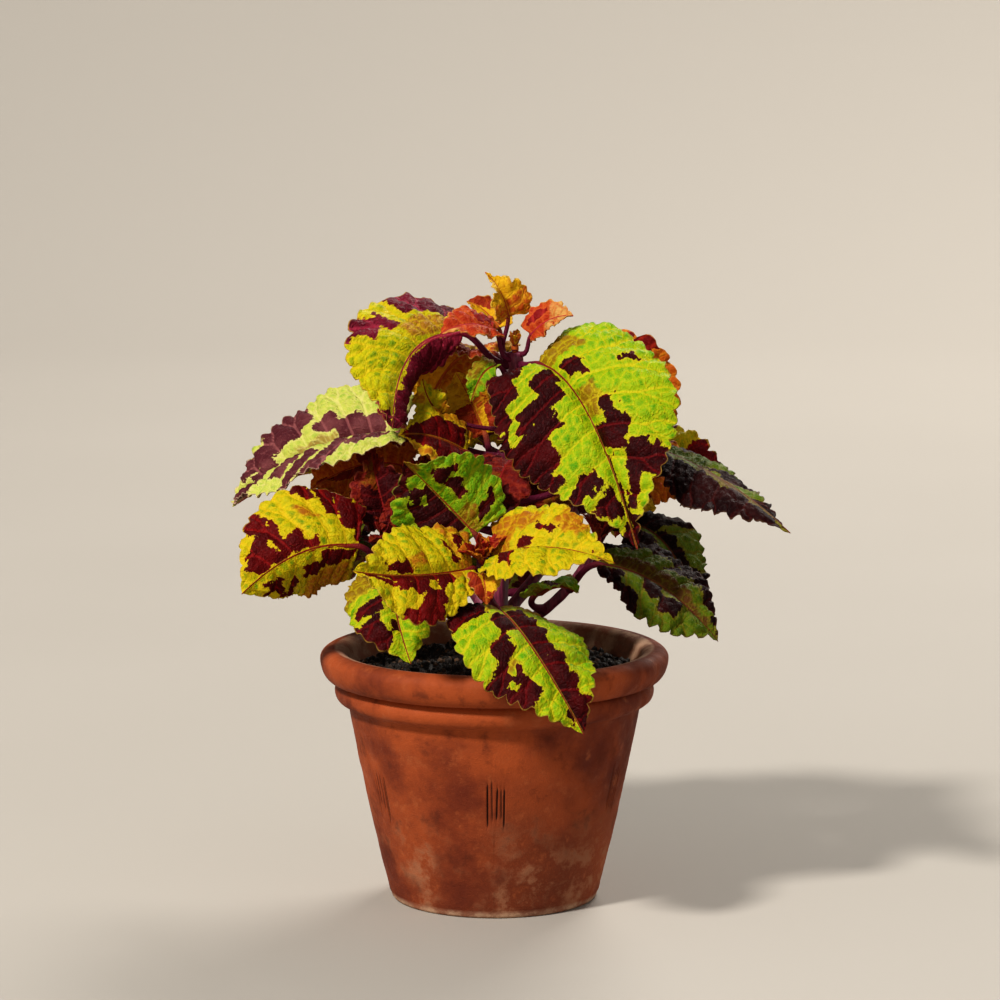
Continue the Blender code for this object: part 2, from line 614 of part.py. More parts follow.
def make_leaf(leaf):
    stem = next(stem for stem in STEMS if stem.name == leaf.stem)
    seat, rise = stem.seat(leaf.share, leaf.base)
    return add_object(leaf.name, leaf_mesh(leaf, seat, rise), leaf.colour)


def bud_mesh(name, foot, axis):
    """A closed spindle, the bud in the middle of a young shoot."""
    across = unit(np.cross(axis, (0.3, 1, 0.2)))
    beside = np.cross(axis, across)
    points = [foot]
    for ring in range(1, BUD_RINGS):
        share = ring / BUD_RINGS
        radius = BUD_RADIUS * np.sin(np.pi * share ** 0.8)
        for corner in range(BUD_SIDES):
            angle = 2 * np.pi * corner / BUD_SIDES
            points.append(foot + axis * BUD_LENGTH * share
                          + (across * np.cos(angle) + beside * np.sin(angle)) * radius)
    points.append(foot + axis * BUD_LENGTH)
    last = len(points) - 1
    faces = []
    for corner in range(BUD_SIDES):
        after = (corner + 1) % BUD_SIDES
        faces.append((0, 1 + after, 1 + corner))
        for ring in range(BUD_RINGS - 2):
            low = 1 + ring * BUD_SIDES
            faces.append((low + corner, low + after, low + BUD_SIDES + after, low + BUD_SIDES + corner))
        high = last - BUD_SIDES
        faces.append((high + corner, high + after, last))
    return mesh_of(name, points, faces)


def make_shoot(name, stem_name, axis, turn, size, colour):
    """Young leaves in crossed pairs round a bud, just off the end of their stem."""
    stem = next(stem for stem in STEMS if stem.name == stem_name)
    draw = random.Random(name)
    axis = unit(axis)
    foot = stem.at(1.0) + stem.tangent(1.0) * GAP
    across = unit(np.cross(axis, (0.0, 1.0, 0.1)))
    beside = np.cross(axis, across)
    parts = [bud_mesh(name, foot, axis)]
    for pair, (length, width, opening) in enumerate(YOUNG_PAIRS):
        for half in (0, 1):
            around = np.radians(turn + 90 * pair + 180 * half + draw.uniform(-12, 12))
            out = across * np.cos(around) + beside * np.sin(around)
            tilt = np.radians(opening + draw.uniform(-6, 6))
            scale = size * draw.uniform(0.85, 1.1)
            rise = axis * np.cos(0.7 * tilt) + out * np.sin(0.7 * tilt)
            droop = axis * np.cos(1.5 * tilt) + out * np.sin(1.5 * tilt)
            seat = foot + axis * BUD_LENGTH * (0.28 + 0.16 * pair)
            base = seat + rise * BUD_RADIUS * 1.4
            arch = base + rise * length * scale / 2
            young = Leaf(f"{name}_young", stem_name, 1.0, base, arch, arch + droop * length * scale / 2,
                         width * scale, colour, side=np.cross(rise, axis), fold=(25, 25), curl=(-15, -15),
                         teeth=4, tooth=0.06, lobe=(0.05, 0.05), wave=0.4, stalk=0.9)
            parts.append(leaf_mesh(young, seat, rise, inner_column=False, rib=0.4))
    return fuse(name, parts, colour)


def main():
    clear_scene()
    make_pot()
    make_soil()
    make_stem()
    for leaf in LEAVES:
        make_leaf(leaf)
    for shoot in SHOOTS:
        make_shoot(*shoot)


main()
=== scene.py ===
"""The looks of a potted coleus: quilted, variegated leaves on purple stems, dark soil and a terracotta pot.

Places along the plant are in millimetres and are scaled by MM, in the same frame as the solids.
"""

import math
import random
from dataclasses import dataclass

import bmesh
import bpy
import numpy as np
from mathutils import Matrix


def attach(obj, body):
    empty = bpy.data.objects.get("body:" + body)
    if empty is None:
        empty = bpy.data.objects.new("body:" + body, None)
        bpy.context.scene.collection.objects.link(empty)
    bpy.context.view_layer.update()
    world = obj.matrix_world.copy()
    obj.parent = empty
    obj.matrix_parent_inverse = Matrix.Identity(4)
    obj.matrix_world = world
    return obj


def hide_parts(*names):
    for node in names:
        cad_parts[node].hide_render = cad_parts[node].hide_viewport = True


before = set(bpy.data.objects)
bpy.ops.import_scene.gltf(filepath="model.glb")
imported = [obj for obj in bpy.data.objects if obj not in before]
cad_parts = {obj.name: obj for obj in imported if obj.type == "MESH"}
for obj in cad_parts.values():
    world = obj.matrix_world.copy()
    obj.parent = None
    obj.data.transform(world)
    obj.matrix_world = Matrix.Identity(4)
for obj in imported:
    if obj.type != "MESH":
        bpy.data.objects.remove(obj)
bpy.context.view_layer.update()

MM = 0.001

# Leaf surface, in millimetres
MESH_STEP = 0.85
BLADE = 0.55
MARGIN_THICKNESS = 0.3
MARGIN_WIDTH = 2.5
CELL = 3.9
CELL_PILLOW = 1.0
CELL_SHOULDER = 1.5
UNEVEN = 0.5
UNEVEN_SIZE = 8
RIB_RIDGE = 0.9
RIB_RIDGE_WIDTH = 1.3
RIB_GROOVE = 0.35
RIB_GROOVE_WIDTH = 0.9
VEIN_RIDGE = 0.3
VEIN_RIDGE_WIDTH = 0.6
SMALLEST_LOBE = 2.4
LARGEST_LOBE = 6.0

# Leaf surface, as shares of the length or the way to the margin, and as powers
VEIN_SWEEP = 1.5
COLUMN_SWEEP = 1.3
FORK = 0.25
PILLOW = 0.17
RIPPLES = 2.5
LOBE_DEPTH = 0.5
LOBE_UNEVEN = 0.35
LOBE_ROUND = 0.55
RAGGED_ROW = 0.012
RAGGED_REACH = 0.05

# Stems and stalks, in millimetres
GAP = 0.3
SHOULDER = 0.08
STALK_SIDES = 14
STEM_SIDES = 24

# Young shoots: each pair's length, width and angle from the shoot's axis
YOUNG_PAIRS = ((15, 9, 42), (10, 6, 22))
BUD_LENGTH = 5.5
BUD_RADIUS = 1.7

# A distance in millimetres past which nothing changes, and the facts of tissue that has no blade
FAR = 9.0
BARE = dict(stalk=1.0, rim=FAR, cell=FAR, vein=FAR)

# What stands for the fourth corner of a face that has three
NO_CORNER = -10 ** 9

# How many random values a noise has each way before they repeat
TABLE = 64

# The order of a quad's corners that turns it round, and a degree in radians
INWARD = [0, 3, 2, 1]
DEGREE = 0.01745

# Pot and soil, in millimetres, with the scores' places and widths in degrees round the pot
POT_HEIGHT = 111.0
RIM_RADIUS = 76.2
RIM_WIDEST_Z = 106.4
ROLL_RADIUS = 6.0
ROLL_DROP = 9.2
BAND_RADIUS = 69.9
BAND_Z = 92.3
BAND_HALF_HEIGHT = 4.8
WALL_TOP_Z = 86.0
WALL_TOP_RADIUS = 64.1
WALL_FOOT_RADIUS = 45.4
WALL_BULGE = 2.6
FOOT_ROUND = 1.8
FLOOR_Z = 8.0
INNER_FOOT_RADIUS = 40.5
INNER_WALL_RADIUS = 58.6
DRAIN_RADIUS = 8.0
POT_SEGMENTS = 220
SCORES = (-57.5, 1.0, 63.0, 121.0, 181.0, 242.0)
SCORE_WIDTH = 11.0
SCORE_STROKES = 5
SCORE_HALF_WIDTH = 0.3
KNOCKS = 26
KNOCK_DEPTH = 0.22
SOIL_EDGE_Z = 101.0
SOIL_CROWN_Z = 104.0
SOIL_RINGS = 70
SOIL_SEGMENTS = 220
CRUMBS = 3600

# The camera that the photograph's view matches, in metres
CAMERA_PLACE = (0.0025, -1.6, 0.403)
CAMERA_PITCH = 8.09
CAMERA_LENS = 133.6

# The stage and the lights, in metres: each light's name, place, size, power in watts and colour
STAGE_SIDES = 96
STAGE_FLOOR = 2.4
STAGE_CURVE = 1.6
STAGE_TOP = 2.4
PLANT_MIDDLE = (0.0, 0.0, 0.17)
LIGHTS = (
    ("key", (-2.0, -2.4, 3.2), 0.55, 205.0, (1.0, 0.96, 0.90)),
    ("fill", (2.8, -2.2, 1.7), 2.6, 14.0, (0.95, 0.97, 1.0)),
    ("back", (1.1, 2.6, 2.6), 1.7, 95.0, (1.0, 0.95, 0.88)),
)


@dataclass
class Stem:
    """One tapering stem along a Bezier curve through its control points."""

    name: str
    controls: tuple
    foot_radius: float
    end_radius: float

    def at(self, share):
        return bezier(self.controls, np.array([share]))[0]

    def tangent(self, share):
        before = max(share - 0.001, 0.0)
        after = min(share + 0.001, 1.0)
        return unit(self.at(after) - self.at(before))

    def radius(self, share):
        return self.foot_radius + (self.end_radius - self.foot_radius) * share

    def seat(self, share, toward):
        """The point GAP outside the stem's corner, facing toward, and the way out of the stem there."""
        centre = self.at(share)
        tangent = self.tangent(share)
        out = np.array(toward, float) - centre
        out = unit(out - tangent * (out @ tangent))
        return centre + out * (self.radius(share) * (1 + 1.5 * SHOULDER) + GAP), out


@dataclass
class Leaf:
    """One leaf: where its stalk leaves the stem, its midrib's curve, and how its two halves stand."""

    name: str
    stem: str
    share: float
    base: tuple
    arch: tuple
    tip: tuple
    width: float
    look: str
    heading: float = None
    roll: float = 0.0
    fold: tuple = (8, 8)
    curl: tuple = (-20, -20)
    teeth: int = 7
    tooth: float = 0.055
    wide: tuple = (0.4, 0.4)
    sharp: float = 1.0
    lobe: tuple = (0.16, 0.16)
    wave: float = 1.5
    stalk: float = 1.5
    side: tuple = None


STEMS = (
    Stem("main", ((2, 4, 84), (2, 4, 130), (0, 6, 158), (12, 3, 195), (9, 1, 240)), 4.2, 2.2),
    Stem("front", ((1, 4, 112), (0, -16, 128), (-4, -40, 138), (-5, -53, 156)), 2.8, 2.0),
    Stem("left", ((1, 4, 116), (-14, -2, 128), (-34, -12, 138), (-44, -22, 158)), 2.8, 2.0),
    Stem("right", ((2, 4, 114), (16, 0, 122), (34, -10, 134), (44, -12, 158)), 2.8, 2.0),
    Stem("back_left", ((1, 5, 118), (-8, 20, 130), (-24, 38, 150), (-30, 46, 176)), 2.8, 2.0),
    Stem("back_right", ((2, 5, 120), (12, 20, 132), (30, 36, 146), (38, 44, 172)), 2.8, 2.0),
)

# What the smallest leaves have in common, and the young ones round the top bud
SLIGHT = dict(wave=1.0, stalk=1.0)
YOUNG = dict(curl=(-10, -10), teeth=5, **SLIGHT)

LEAVES = (
    # The crown
    Leaf("crown_right", "main", 0.97, (19, -9, 236), (40, -42, 236), (60, -66, 164), 76, "lime",
         heading=-78, roll=-6, fold=(46, -4), curl=(-62, -30), teeth=9, wide=(0.38, 0.38), sharp=1.2),
    Leaf("crown_left", "main", 0.97, (-14, 4, 248), (-43, -14, 252), (-43, -42, 212), 55, "rose",
         heading=-104, fold=(-65, 38), curl=(-120, -20), teeth=9, wide=(0.6, 0.44), sharp=0.8,
         lobe=(0, 0.52)),
    Leaf("crown_back", "main", 0.93, (0, 16, 238), (-18, 33, 246), (-32, 34, 208), 42, "amber",
         heading=115, teeth=8),
    Leaf("crown_back_right", "main", 0.90, (38, 20, 227), (62, 26, 231), (78, 30, 201), 44, "ember",
         heading=-60, roll=-20, teeth=8),
    # The second and third pairs on the main stem
    Leaf("second_left", "main", 0.72, (-40, 0, 205), (-78, 6, 205), (-116, 26, 169), 64, "pale",
         fold=(-8, 55), curl=(-20, -30), teeth=9, wide=(0.5, 0.42), sharp=0.8),
    Leaf("second_right", "main", 0.72, (56, -6, 203), (92, -34, 199), (123, -80, 173), 42, "dusk",
         roll=8, fold=(-2, -25), teeth=8, wide=(0.15, 0.58), sharp=1.6, lobe=(0.5, 0)),
    Leaf("second_back", "main", 0.82, (14, 34, 218), (22, 64, 226), (30, 90, 188), 58, "lime",
         teeth=8),
    Leaf("third_back", "main", 0.72, (-4, 30, 196), (-20, 64, 206), (-32, 92, 180), 54, "gold", teeth=8),
    # Inside the crown
    Leaf("inner_left", "main", 0.69, (-12, -12, 198), (-26, -21, 209), (-41, -24, 207), 33, "gold",
         roll=45, teeth=6),
    Leaf("inner_front", "main", 0.64, (7, -13, 194), (4, -28, 198), (-3, -34, 170), 34, "wine",
         teeth=6),
    Leaf("inner_red_left", "main", 0.60, (-38, 14, 188), (-58, 22, 194), (-82, 26, 176), 42, "ember",
         roll=50, teeth=7),
    Leaf("inner_red_right", "main", 0.60, (46, 14, 186), (70, 22, 192), (98, 20, 176), 34, "ember",
         roll=-50, teeth=7),
    Leaf("inner_middle", "main", 0.50, (-22, 4, 172), (-38, 6, 184), (-50, 8, 172), 30, "ember",
         teeth=6),
    Leaf("inner_back", "main", 0.66, (-4, 12, 203), (-9, 15, 216), (-17, 16, 230), 30, "amber",
         heading=90, teeth=5),
    Leaf("inner_high", "main", 0.80, (-22, -2, 213), (-29, -3, 217), (-31, -4, 229), 14, "gold",
         heading=90, teeth=4, **SLIGHT),
    Leaf("inner_small", "main", 0.93, (1, -7, 235), (-6, -10, 235), (-10, -12, 220), 11, "grass",
         heading=-90, teeth=4, **SLIGHT),
    Leaf("inner_low", "main", 0.44, (13, 14, 166), (15, 16, 181), (21, 16, 199), 38, "wine",
         heading=90, teeth=5),
    Leaf("right_up", "main", 0.78, (56, 36, 194), (80, 40, 199), (103, 38, 183), 20, "gold",
         roll=-60, fold=(5, 5), teeth=5),
    # The left shoot
    Leaf("left_out", "left", 0.93, (-58, -31, 160), (-82, -40, 166), (-107, -48, 142), 58, "gold",
         roll=55, fold=(-62, 5), curl=(-30, -20)),
    Leaf("left_up", "left", 0.97, (-46, -14, 168), (-51, -14, 184), (-53, -8, 198), 25, "wine",
         heading=90, fold=(20, 20), curl=(-10, -10), teeth=5),
    Leaf("left_low", "left", 0.60, (-44, -34, 150), (-44, -56, 140), (-35, -64, 115), 40, "lime",
         heading=-90, fold=(5, 5), curl=(-40, -40)),
    Leaf("left_back", "left", 0.90, (-56, -8, 160), (-78, 4, 164), (-96, 14, 146), 46, "dusk", roll=20),
    Leaf("left_under", "left", 0.35, (-34, 10, 132), (-50, 16, 142), (-61, 20, 129), 34, "wine"),
    # The front shoot
    Leaf("front_left", "front", 0.95, (-9, -59, 155), (-34, -80, 153), (-58, -92, 159), 46, "gold",
         roll=60, fold=(27, 10), curl=(-40, -40), wide=(0.55, 0.4), sharp=0.7, lobe=(0, 0.2)),
    Leaf("front_up", "front", 0.95, (-8, -49, 168), (-24, -46, 185), (-38, -56, 200), 48, "grass",
         heading=95, curl=(-40, -40)),
    Leaf("front_right", "front", 0.95, (-1, -58, 159), (20, -75, 172), (50, -84, 161), 46, "gold",
         roll=-50, fold=(0, 34), wide=(0.3, 0.42), lobe=(0.16, 0.05)),
    Leaf("front_down", "front", 0.86, (1, -63, 139), (12, -96, 138), (37, -104, 93), 55, "lime",
         heading=-85, roll=10, fold=(5, 0), curl=(-50, -30), teeth=8, wide=(0.4, 0.36), lobe=(0.1, 0.16)),
    Leaf("front_small", "front", 0.97, (-5, -64, 153), (-4, -73, 155), (-3, -74, 142), 13, "amber",
         heading=-90, teeth=4, **SLIGHT),
    # The right shoot
    Leaf("right_low", "right", 0.70, (45, -30, 152), (72, -44, 152), (95, -50, 122), 44, "dusk",
         roll=-28, fold=(0, 8), wide=(0.4, 0.55), lobe=(0.16, 0)),
    Leaf("right_back_low", "right", 0.90, (54, 2, 165), (76, -4, 168), (88, -14, 130), 36, "dusk",
         heading=-50, roll=-10, fold=(5, 5), curl=(-30, -30)),
    Leaf("right_inner", "right", 0.45, (18, -24, 138), (27, -34, 148), (36, -38, 141), 24, "grass",
         teeth=5),
    Leaf("right_back", "right", 0.60, (46, 12, 148), (66, 26, 154), (80, 38, 134), 38, "grass"),
    # The back shoots
    Leaf("back_left_out", "back_left", 0.93, (-54, 54, 180), (-88, 78, 186), (-120, 104, 159), 54,
         "gold"),
    Leaf("back_left", "back_left", 0.90, (-34, 60, 172), (-42, 80, 174), (-48, 98, 142), 50, "lime"),
    Leaf("back_left_low", "back_left", 0.60, (-32, 44, 146), (-54, 60, 156), (-66, 76, 128), 44, "dusk"),
    Leaf("back_right_out", "back_right", 0.93, (50, 48, 176), (70, 58, 188), (86, 68, 164), 46, "grass"),
    Leaf("back_right", "back_right", 0.90, (42, 56, 170), (52, 80, 176), (56, 98, 144), 50, "gold"),
    Leaf("back_right_low", "back_right", 0.55, (16, 42, 140), (12, 68, 146), (2, 88, 114), 46, "grass"),
    Leaf("back_low", "back_right", 0.30, (-10, 40, 128), (-20, 60, 136), (-30, 80, 114), 38, "wine"),
    # The youngest open leaves at the top
    Leaf("top_right", "main", 0.995, (16, -2, 248), (23, -5, 257), (34, -10, 257), 18, "coral",
         heading=0, roll=-55, fold=(0, 35), **YOUNG),
    Leaf("top_up", "main", 0.995, (6, 0, 256), (4, -2, 268), (-4, 0, 275), 23, "amber",
         heading=105, fold=(50, 0), wide=(0.3, 0.3), sharp=2.4, **YOUNG),
    Leaf("top_left", "main", 0.985, (0, -4, 250), (-10, -12, 257), (-23, -18, 250), 20, "coral",
         roll=25, fold=(0, 10), **YOUNG),
    Leaf("top_back", "main", 0.985, (2, 6, 250), (-4, 14, 259), (-12, 14, 261), 18, "amber",
         heading=100, fold=(10, 10), **YOUNG),
)

# Young shoots: name, stem, the way that the shoot looks, its turn about that, the size of its leaves, look
SHOOTS = (
    ("shoot_top", "main", (0, -0.1, 1), 75, 0.5, "amber"),
    ("shoot_front", "front", (0, -0.55, 0.8), 20, 1.0, "ember"),
    ("shoot_left", "left", (-0.3, -0.4, 0.85), 60, 0.95, "wine"),
    ("shoot_right", "right", (0.3, -0.1, 0.9), 20, 0.95, "wine"),
    ("shoot_back_left", "back_left", (-0.2, 0.2, 0.9), 20, 0.95, "ember"),
    ("shoot_back_right", "back_right", (0.2, 0.2, 0.9), 20, 0.95, "ember"),
)

# A leaf's tissue: cell middles, cell edges, the net of veins, patches, veins in the patches, blushed
# tissue, midrib, the thin rim of the margin, and what the underside leans to
TISSUE = ("cell", "lime", "net", "patch", "patch_vein", "blush", "rib", "rim", "back")
LOOKS = {
    "lime": ((0.10, 0.34, 0.003), (0.36, 0.51, 0.005), (0.66, 0.56, 0.012), (0.034, 0.0008, 0.002),
             (0.17, 0.003, 0.005), (0.34, 0.16, 0.006), (0.26, 0.018, 0.02), (0.52, 0.34, 0.06)),
    "gold": ((0.18, 0.30, 0.003), (0.62, 0.52, 0.005), (0.74, 0.52, 0.010), (0.090, 0.0015, 0.0025),
             (0.30, 0.008, 0.007), (0.48, 0.14, 0.008), (0.30, 0.03, 0.012), (0.62, 0.40, 0.06)),
    # Partly painted light: the magenta cast of this look's maroon patches and the pink of their veins and
    # midrib paint sunlit sheen over the leaf's own maroon
    "rose": ((0.18, 0.30, 0.003), (0.58, 0.54, 0.005), (0.74, 0.56, 0.012), (0.105, 0.0015, 0.012),
             (0.40, 0.03, 0.07), (0.46, 0.20, 0.008), (0.46, 0.03, 0.07), (0.60, 0.38, 0.06)),
    "grass": ((0.05, 0.22, 0.003), (0.18, 0.38, 0.005), (0.42, 0.46, 0.012), (0.034, 0.0012, 0.002),
              (0.15, 0.006, 0.006), (0.34, 0.13, 0.008), (0.30, 0.06, 0.012), (0.36, 0.40, 0.05)),
    # Partly painted light: the whitish, greyed cast in every colour of this look paints a haze of backlight
    # over the leaf's own pale green and maroon
    "pale": ((0.32, 0.48, 0.05), (0.60, 0.64, 0.11), (0.74, 0.70, 0.24), (0.105, 0.018, 0.026),
             (0.36, 0.12, 0.12), (0.42, 0.28, 0.05), (0.56, 0.26, 0.20), (0.66, 0.48, 0.34),
             (0.50, 0.30, 0.22)),
    # Partly painted shade: an olive-brown leaf, maroon veiled over green, with every colour darkened as
    # painted shade
    "dusk": ((0.05, 0.10, 0.003), (0.11, 0.17, 0.004), (0.20, 0.16, 0.010), (0.013, 0.001, 0.0015),
             (0.06, 0.004, 0.003), (0.13, 0.035, 0.010), (0.16, 0.025, 0.02), (0.12, 0.06, 0.03)),
    "ember": ((0.40, 0.055, 0.005), (0.56, 0.12, 0.007), (0.66, 0.24, 0.012), (0.17, 0.006, 0.006),
              (0.42, 0.03, 0.012), (0.58, 0.24, 0.010), (0.46, 0.05, 0.02), (0.62, 0.28, 0.05)),
    "amber": ((0.44, 0.17, 0.006), (0.74, 0.42, 0.010), (0.80, 0.50, 0.015), (0.32, 0.03, 0.010),
              (0.50, 0.09, 0.015), (0.46, 0.06, 0.010), (0.52, 0.12, 0.02), (0.70, 0.50, 0.12),
              (0.66, 0.34, 0.02)),
    "coral": ((0.36, 0.020, 0.008), (0.50, 0.050, 0.014), (0.62, 0.13, 0.025), (0.26, 0.008, 0.010),
              (0.50, 0.04, 0.03), (0.74, 0.50, 0.14), (0.46, 0.03, 0.05), (0.66, 0.36, 0.08)),
    "wine": ((0.10, 0.004, 0.005), (0.17, 0.008, 0.008), (0.30, 0.03, 0.012), (0.05, 0.002, 0.004),
             (0.17, 0.008, 0.010), (0.34, 0.14, 0.008), (0.32, 0.02, 0.02), (0.36, 0.08, 0.04)),
}

# What the underside leans to where a look names no colour for it
BACK = (0.30, 0.05, 0.045)

# Strokes of colour, in hundredths: for each half (-1 left, 1 right) and kind, sectors with their first
# and last row, and the shares of the way to the margin between which they lie
PAINT = {
    "crown_right": {
        (-1, "patch"): ((26, 38, 5, 30), (33.5, 36.5, 60, 80), (49, 61, 22, 42), (58, 66, 32, 50),
                        (60, 69, 0, 42), (66, 77, 42, 100), (74, 86, 42, 76), (72, 90, 0, 14),
                        (88, 100, 0, 100)),
        (-1, "blush"): ((0, 22, 0, 55), (44, 56, 4, 26)),
        (-1, "clear"): ((90, 93, 20, 70),),
        (1, "patch"): ((0, 14, 40, 100), (12, 24, 62, 100), (22, 34, 77, 100), (33, 66, 88, 100),
                       (22, 34, 4, 42), (32, 43, 12, 76), (42, 52, 36, 100), (50, 60, 58, 100),
                       (59, 67, 78, 100), (72, 78, 36, 100), (80, 88, 20, 90), (92, 100, 0, 100)),
        (1, "clear"): ((86, 92, 45, 100),),
    },
    "crown_left": {
        (-1, "patch"): ((0, 100, 5, 100),),
        (1, "patch"): ((0, 36, 54, 100), (44, 50, 46, 80), (46, 57, 64, 100), (91, 100, 30, 100)),
        (1, "blush"): ((12, 47, 8, 42),),
    },
    "second_left": {
        (-1, "patch"): ((12, 34, 10, 50), (36, 44, 15, 100), (48, 56, 30, 100), (62, 70, 0, 70),
                        (76, 92, 10, 100)),
        (1, "patch"): ((18, 46, 0, 36), (43, 54, 20, 46), (52, 62, 46, 100), (60, 90, 40, 100),
                       (74, 88, 10, 50)),
        (1, "blush"): ((44, 64, 0, 14),),
        (1, "clear"): ((74, 80, 86, 100),),
    },
    "second_right": {
        (-1, "patch"): ((0, 16, 50, 100), (22, 40, 30, 80), (56, 70, 10, 100), (80, 100, 0, 100)),
        (1, "patch"): ((0, 100, 20, 100),),
        (1, "blush"): ((55, 95, 0, 25),),
    },
    "left_out": {
        (-1, "patch"): ((5, 45, 5, 34), (43, 58, 20, 50), (62, 70, 42, 100), (74, 86, 40, 90)),
        (-1, "blush"): ((8, 50, 34, 100),),
        (1, "patch"): ((0, 12, 12, 100), (10, 21, 36, 100), (19, 30, 50, 100), (28, 37, 74, 100),
                       (45, 53, 0, 16), (52, 62, 3, 36), (60, 71, 5, 100), (70, 87, 3, 78)),
        (1, "blush"): ((37, 44, 48, 68),),
    },
    "left_low": {
        (-1, "patch"): ((0, 66, 0, 100),),
        (1, "patch"): ((0, 10, 0, 100), (46, 60, 22, 80), (59, 84, 40, 100), (70, 80, 0, 25)),
        (1, "blush"): ((10, 36, 30, 100),),
    },
    "front_left": {
        (-1, "patch"): ((34, 98, 0, 33), (60, 90, 30, 48), (43, 61, 30, 100), (59, 69, 74, 100)),
        (-1, "blush"): ((22, 36, 0, 30),),
        (-1, "clear"): ((49, 56, 20, 36),),
        (1, "patch"): ((12, 19, 25, 80), (23, 28, 22, 58), (66, 80, 8, 36)),
        (1, "blush"): ((0, 24, 0, 100), (52, 68, 18, 40)),
    },
    "front_up": {
        (-1, "patch"): ((20, 77, 2, 64), (74, 97, 60, 100), (87, 100, 0, 100)),
        (-1, "clear"): ((63, 70, 24, 38),),
        (1, "patch"): ((65, 78, 30, 74), (55, 68, 24, 52), (47, 58, 22, 40), (14, 27, 34, 78)),
        (1, "blush"): ((6, 42, 0, 34), (90, 100, 0, 100)),
    },
    "front_right": {
        (-1, "patch"): ((45, 60, 34, 56), (40, 50, 2, 20), (80, 88, 20, 44)),
        (-1, "blush"): ((0, 32, 0, 100), (30, 44, 42, 90), (54, 72, 58, 100)),
        (-1, "clear"): ((14, 46, 82, 100),),
        (1, "patch"): ((26, 39, 0, 62), (92, 98, 10, 60)),
    },
    "front_down": {
        (-1, "patch"): ((22, 66, 0, 33), (63, 76, 0, 46), (74, 86, 0, 64), (84, 100, 0, 100)),
        (-1, "blush"): ((0, 16, 0, 100),),
        (1, "patch"): ((0, 24, 34, 100), (28, 44, 0, 36), (43, 54, 26, 66), (53, 63, 60, 100),
                       (61, 76, 48, 100), (90, 94, 10, 60)),
        (1, "blush"): ((0, 20, 0, 36), (54, 60, 45, 66)),
        (1, "clear"): ((60, 65, 72, 90),),
    },
    "right_low": {
        (-1, "patch"): ((0, 100, 72, 100), (50, 60, 48, 80)),
        (-1, "blush"): ((5, 92, 0, 30),),
        (1, "patch"): ((0, 32, 20, 100), (30, 48, 62, 100), (50, 62, 5, 44), (62, 74, 30, 72)),
        (1, "blush"): ((0, 95, 0, 10),),
    },
    "right_back_low": {
        (-1, "patch"): ((0, 46, 0, 100), (46, 80, 0, 30), (76, 92, 20, 100)),
        (1, "patch"): ((0, 50, 20, 100), (70, 86, 0, 100)),
    },
    "top_up": {
        (-1, "blush"): ((0, 35, 0, 100),),
        (1, "blush"): ((0, 45, 0, 100),),
    },
    "top_right": {
        (-1, "patch"): ((10, 60, 30, 80),),
        (-1, "blush"): ((62, 100, 0, 100),),
        (1, "patch"): ((70, 76, 30, 70),),
        (1, "blush"): ((56, 100, 0, 100),),
    },
    "top_left": {
        (-1, "blush"): ((80, 100, 50, 100),),
        (1, "patch"): ((10, 50, 20, 80),),
    },
    "crown_back": {
        (-1, "patch"): ((0, 40, 50, 100),),
        (-1, "blush"): ((30, 60, 0, 50),),
        (1, "blush"): ((10, 80, 10, 60),),
    },
    "inner_high": {
        (-1, "blush"): ((60, 80, 40, 100),),
        (1, "blush"): ((0, 30, 0, 100),),
    },
    "inner_small": {
        (-1, "blush"): ((60, 100, 0, 60),),
        (1, "blush"): ((0, 60, 40, 100),),
    },
    "inner_left": {
        (-1, "patch"): ((8, 94, 0, 72),),
        (-1, "blush"): ((50, 100, 70, 100),),
        (1, "patch"): ((16, 100, 0, 66),),
        (1, "blush"): ((0, 50, 60, 100),),
    },
    "inner_back": {
        (-1, "patch"): ((0, 60, 0, 60),),
        (1, "patch"): ((10, 50, 30, 100),),
        (1, "blush"): ((50, 90, 0, 60),),
    },
    "right_up": {
        (-1, "patch"): ((20, 50, 20, 100), (70, 100, 0, 100)),
        (1, "patch"): ((30, 70, 10, 70),),
    },
}


def unit(vector):
    vector = np.asarray(vector, float)
    return vector / np.maximum(np.linalg.norm(vector, axis=-1, keepdims=True), 1e-12)


def bezier(controls, shares):
    """The points of a Bezier curve of any degree, at the given shares."""
    points = [np.asarray(control, float) for control in controls]
    shares = np.asarray(shares, float)[..., None]
    while len(points) > 1:
        points = [a * (1 - shares) + b * shares for a, b in zip(points, points[1:])]
    return points[0]


def half_of(hand):
    """The place of a leaf's half in its pairs of values: the left half, hand -1, comes first."""
    return 0 if hand < 0 else 1


def smooth_step(low, high, value):
    share = np.clip((value - low) / (high - low), 0, 1)
    return share * share * (3 - 2 * share)


def dome(share):
    """A rounded rise from 0 to 1 as the share does."""
    return 1 - (1 - np.clip(share, 0, 1)) ** 2


def bell(distance, width):
    """A rounded bump of height 1, about as wide to each side as width."""
    return np.exp(-(distance / width) ** 2)


def soft_noise(x, y, seed):
    """Smooth noise from -1 to 1, with one bump to each unit of x and y."""
    table = np.random.default_rng(seed).uniform(-1, 1, (TABLE, TABLE))
    i, j = np.floor(x).astype(int), np.floor(y).astype(int)
    a, b = smooth_step(0, 1, x - i), smooth_step(0, 1, y - j)
    low, high = (table[i % TABLE, k % TABLE] * (1 - a) + table[(i + 1) % TABLE, k % TABLE] * a
                 for k in (j, j + 1))
    return low * (1 - b) + high * b


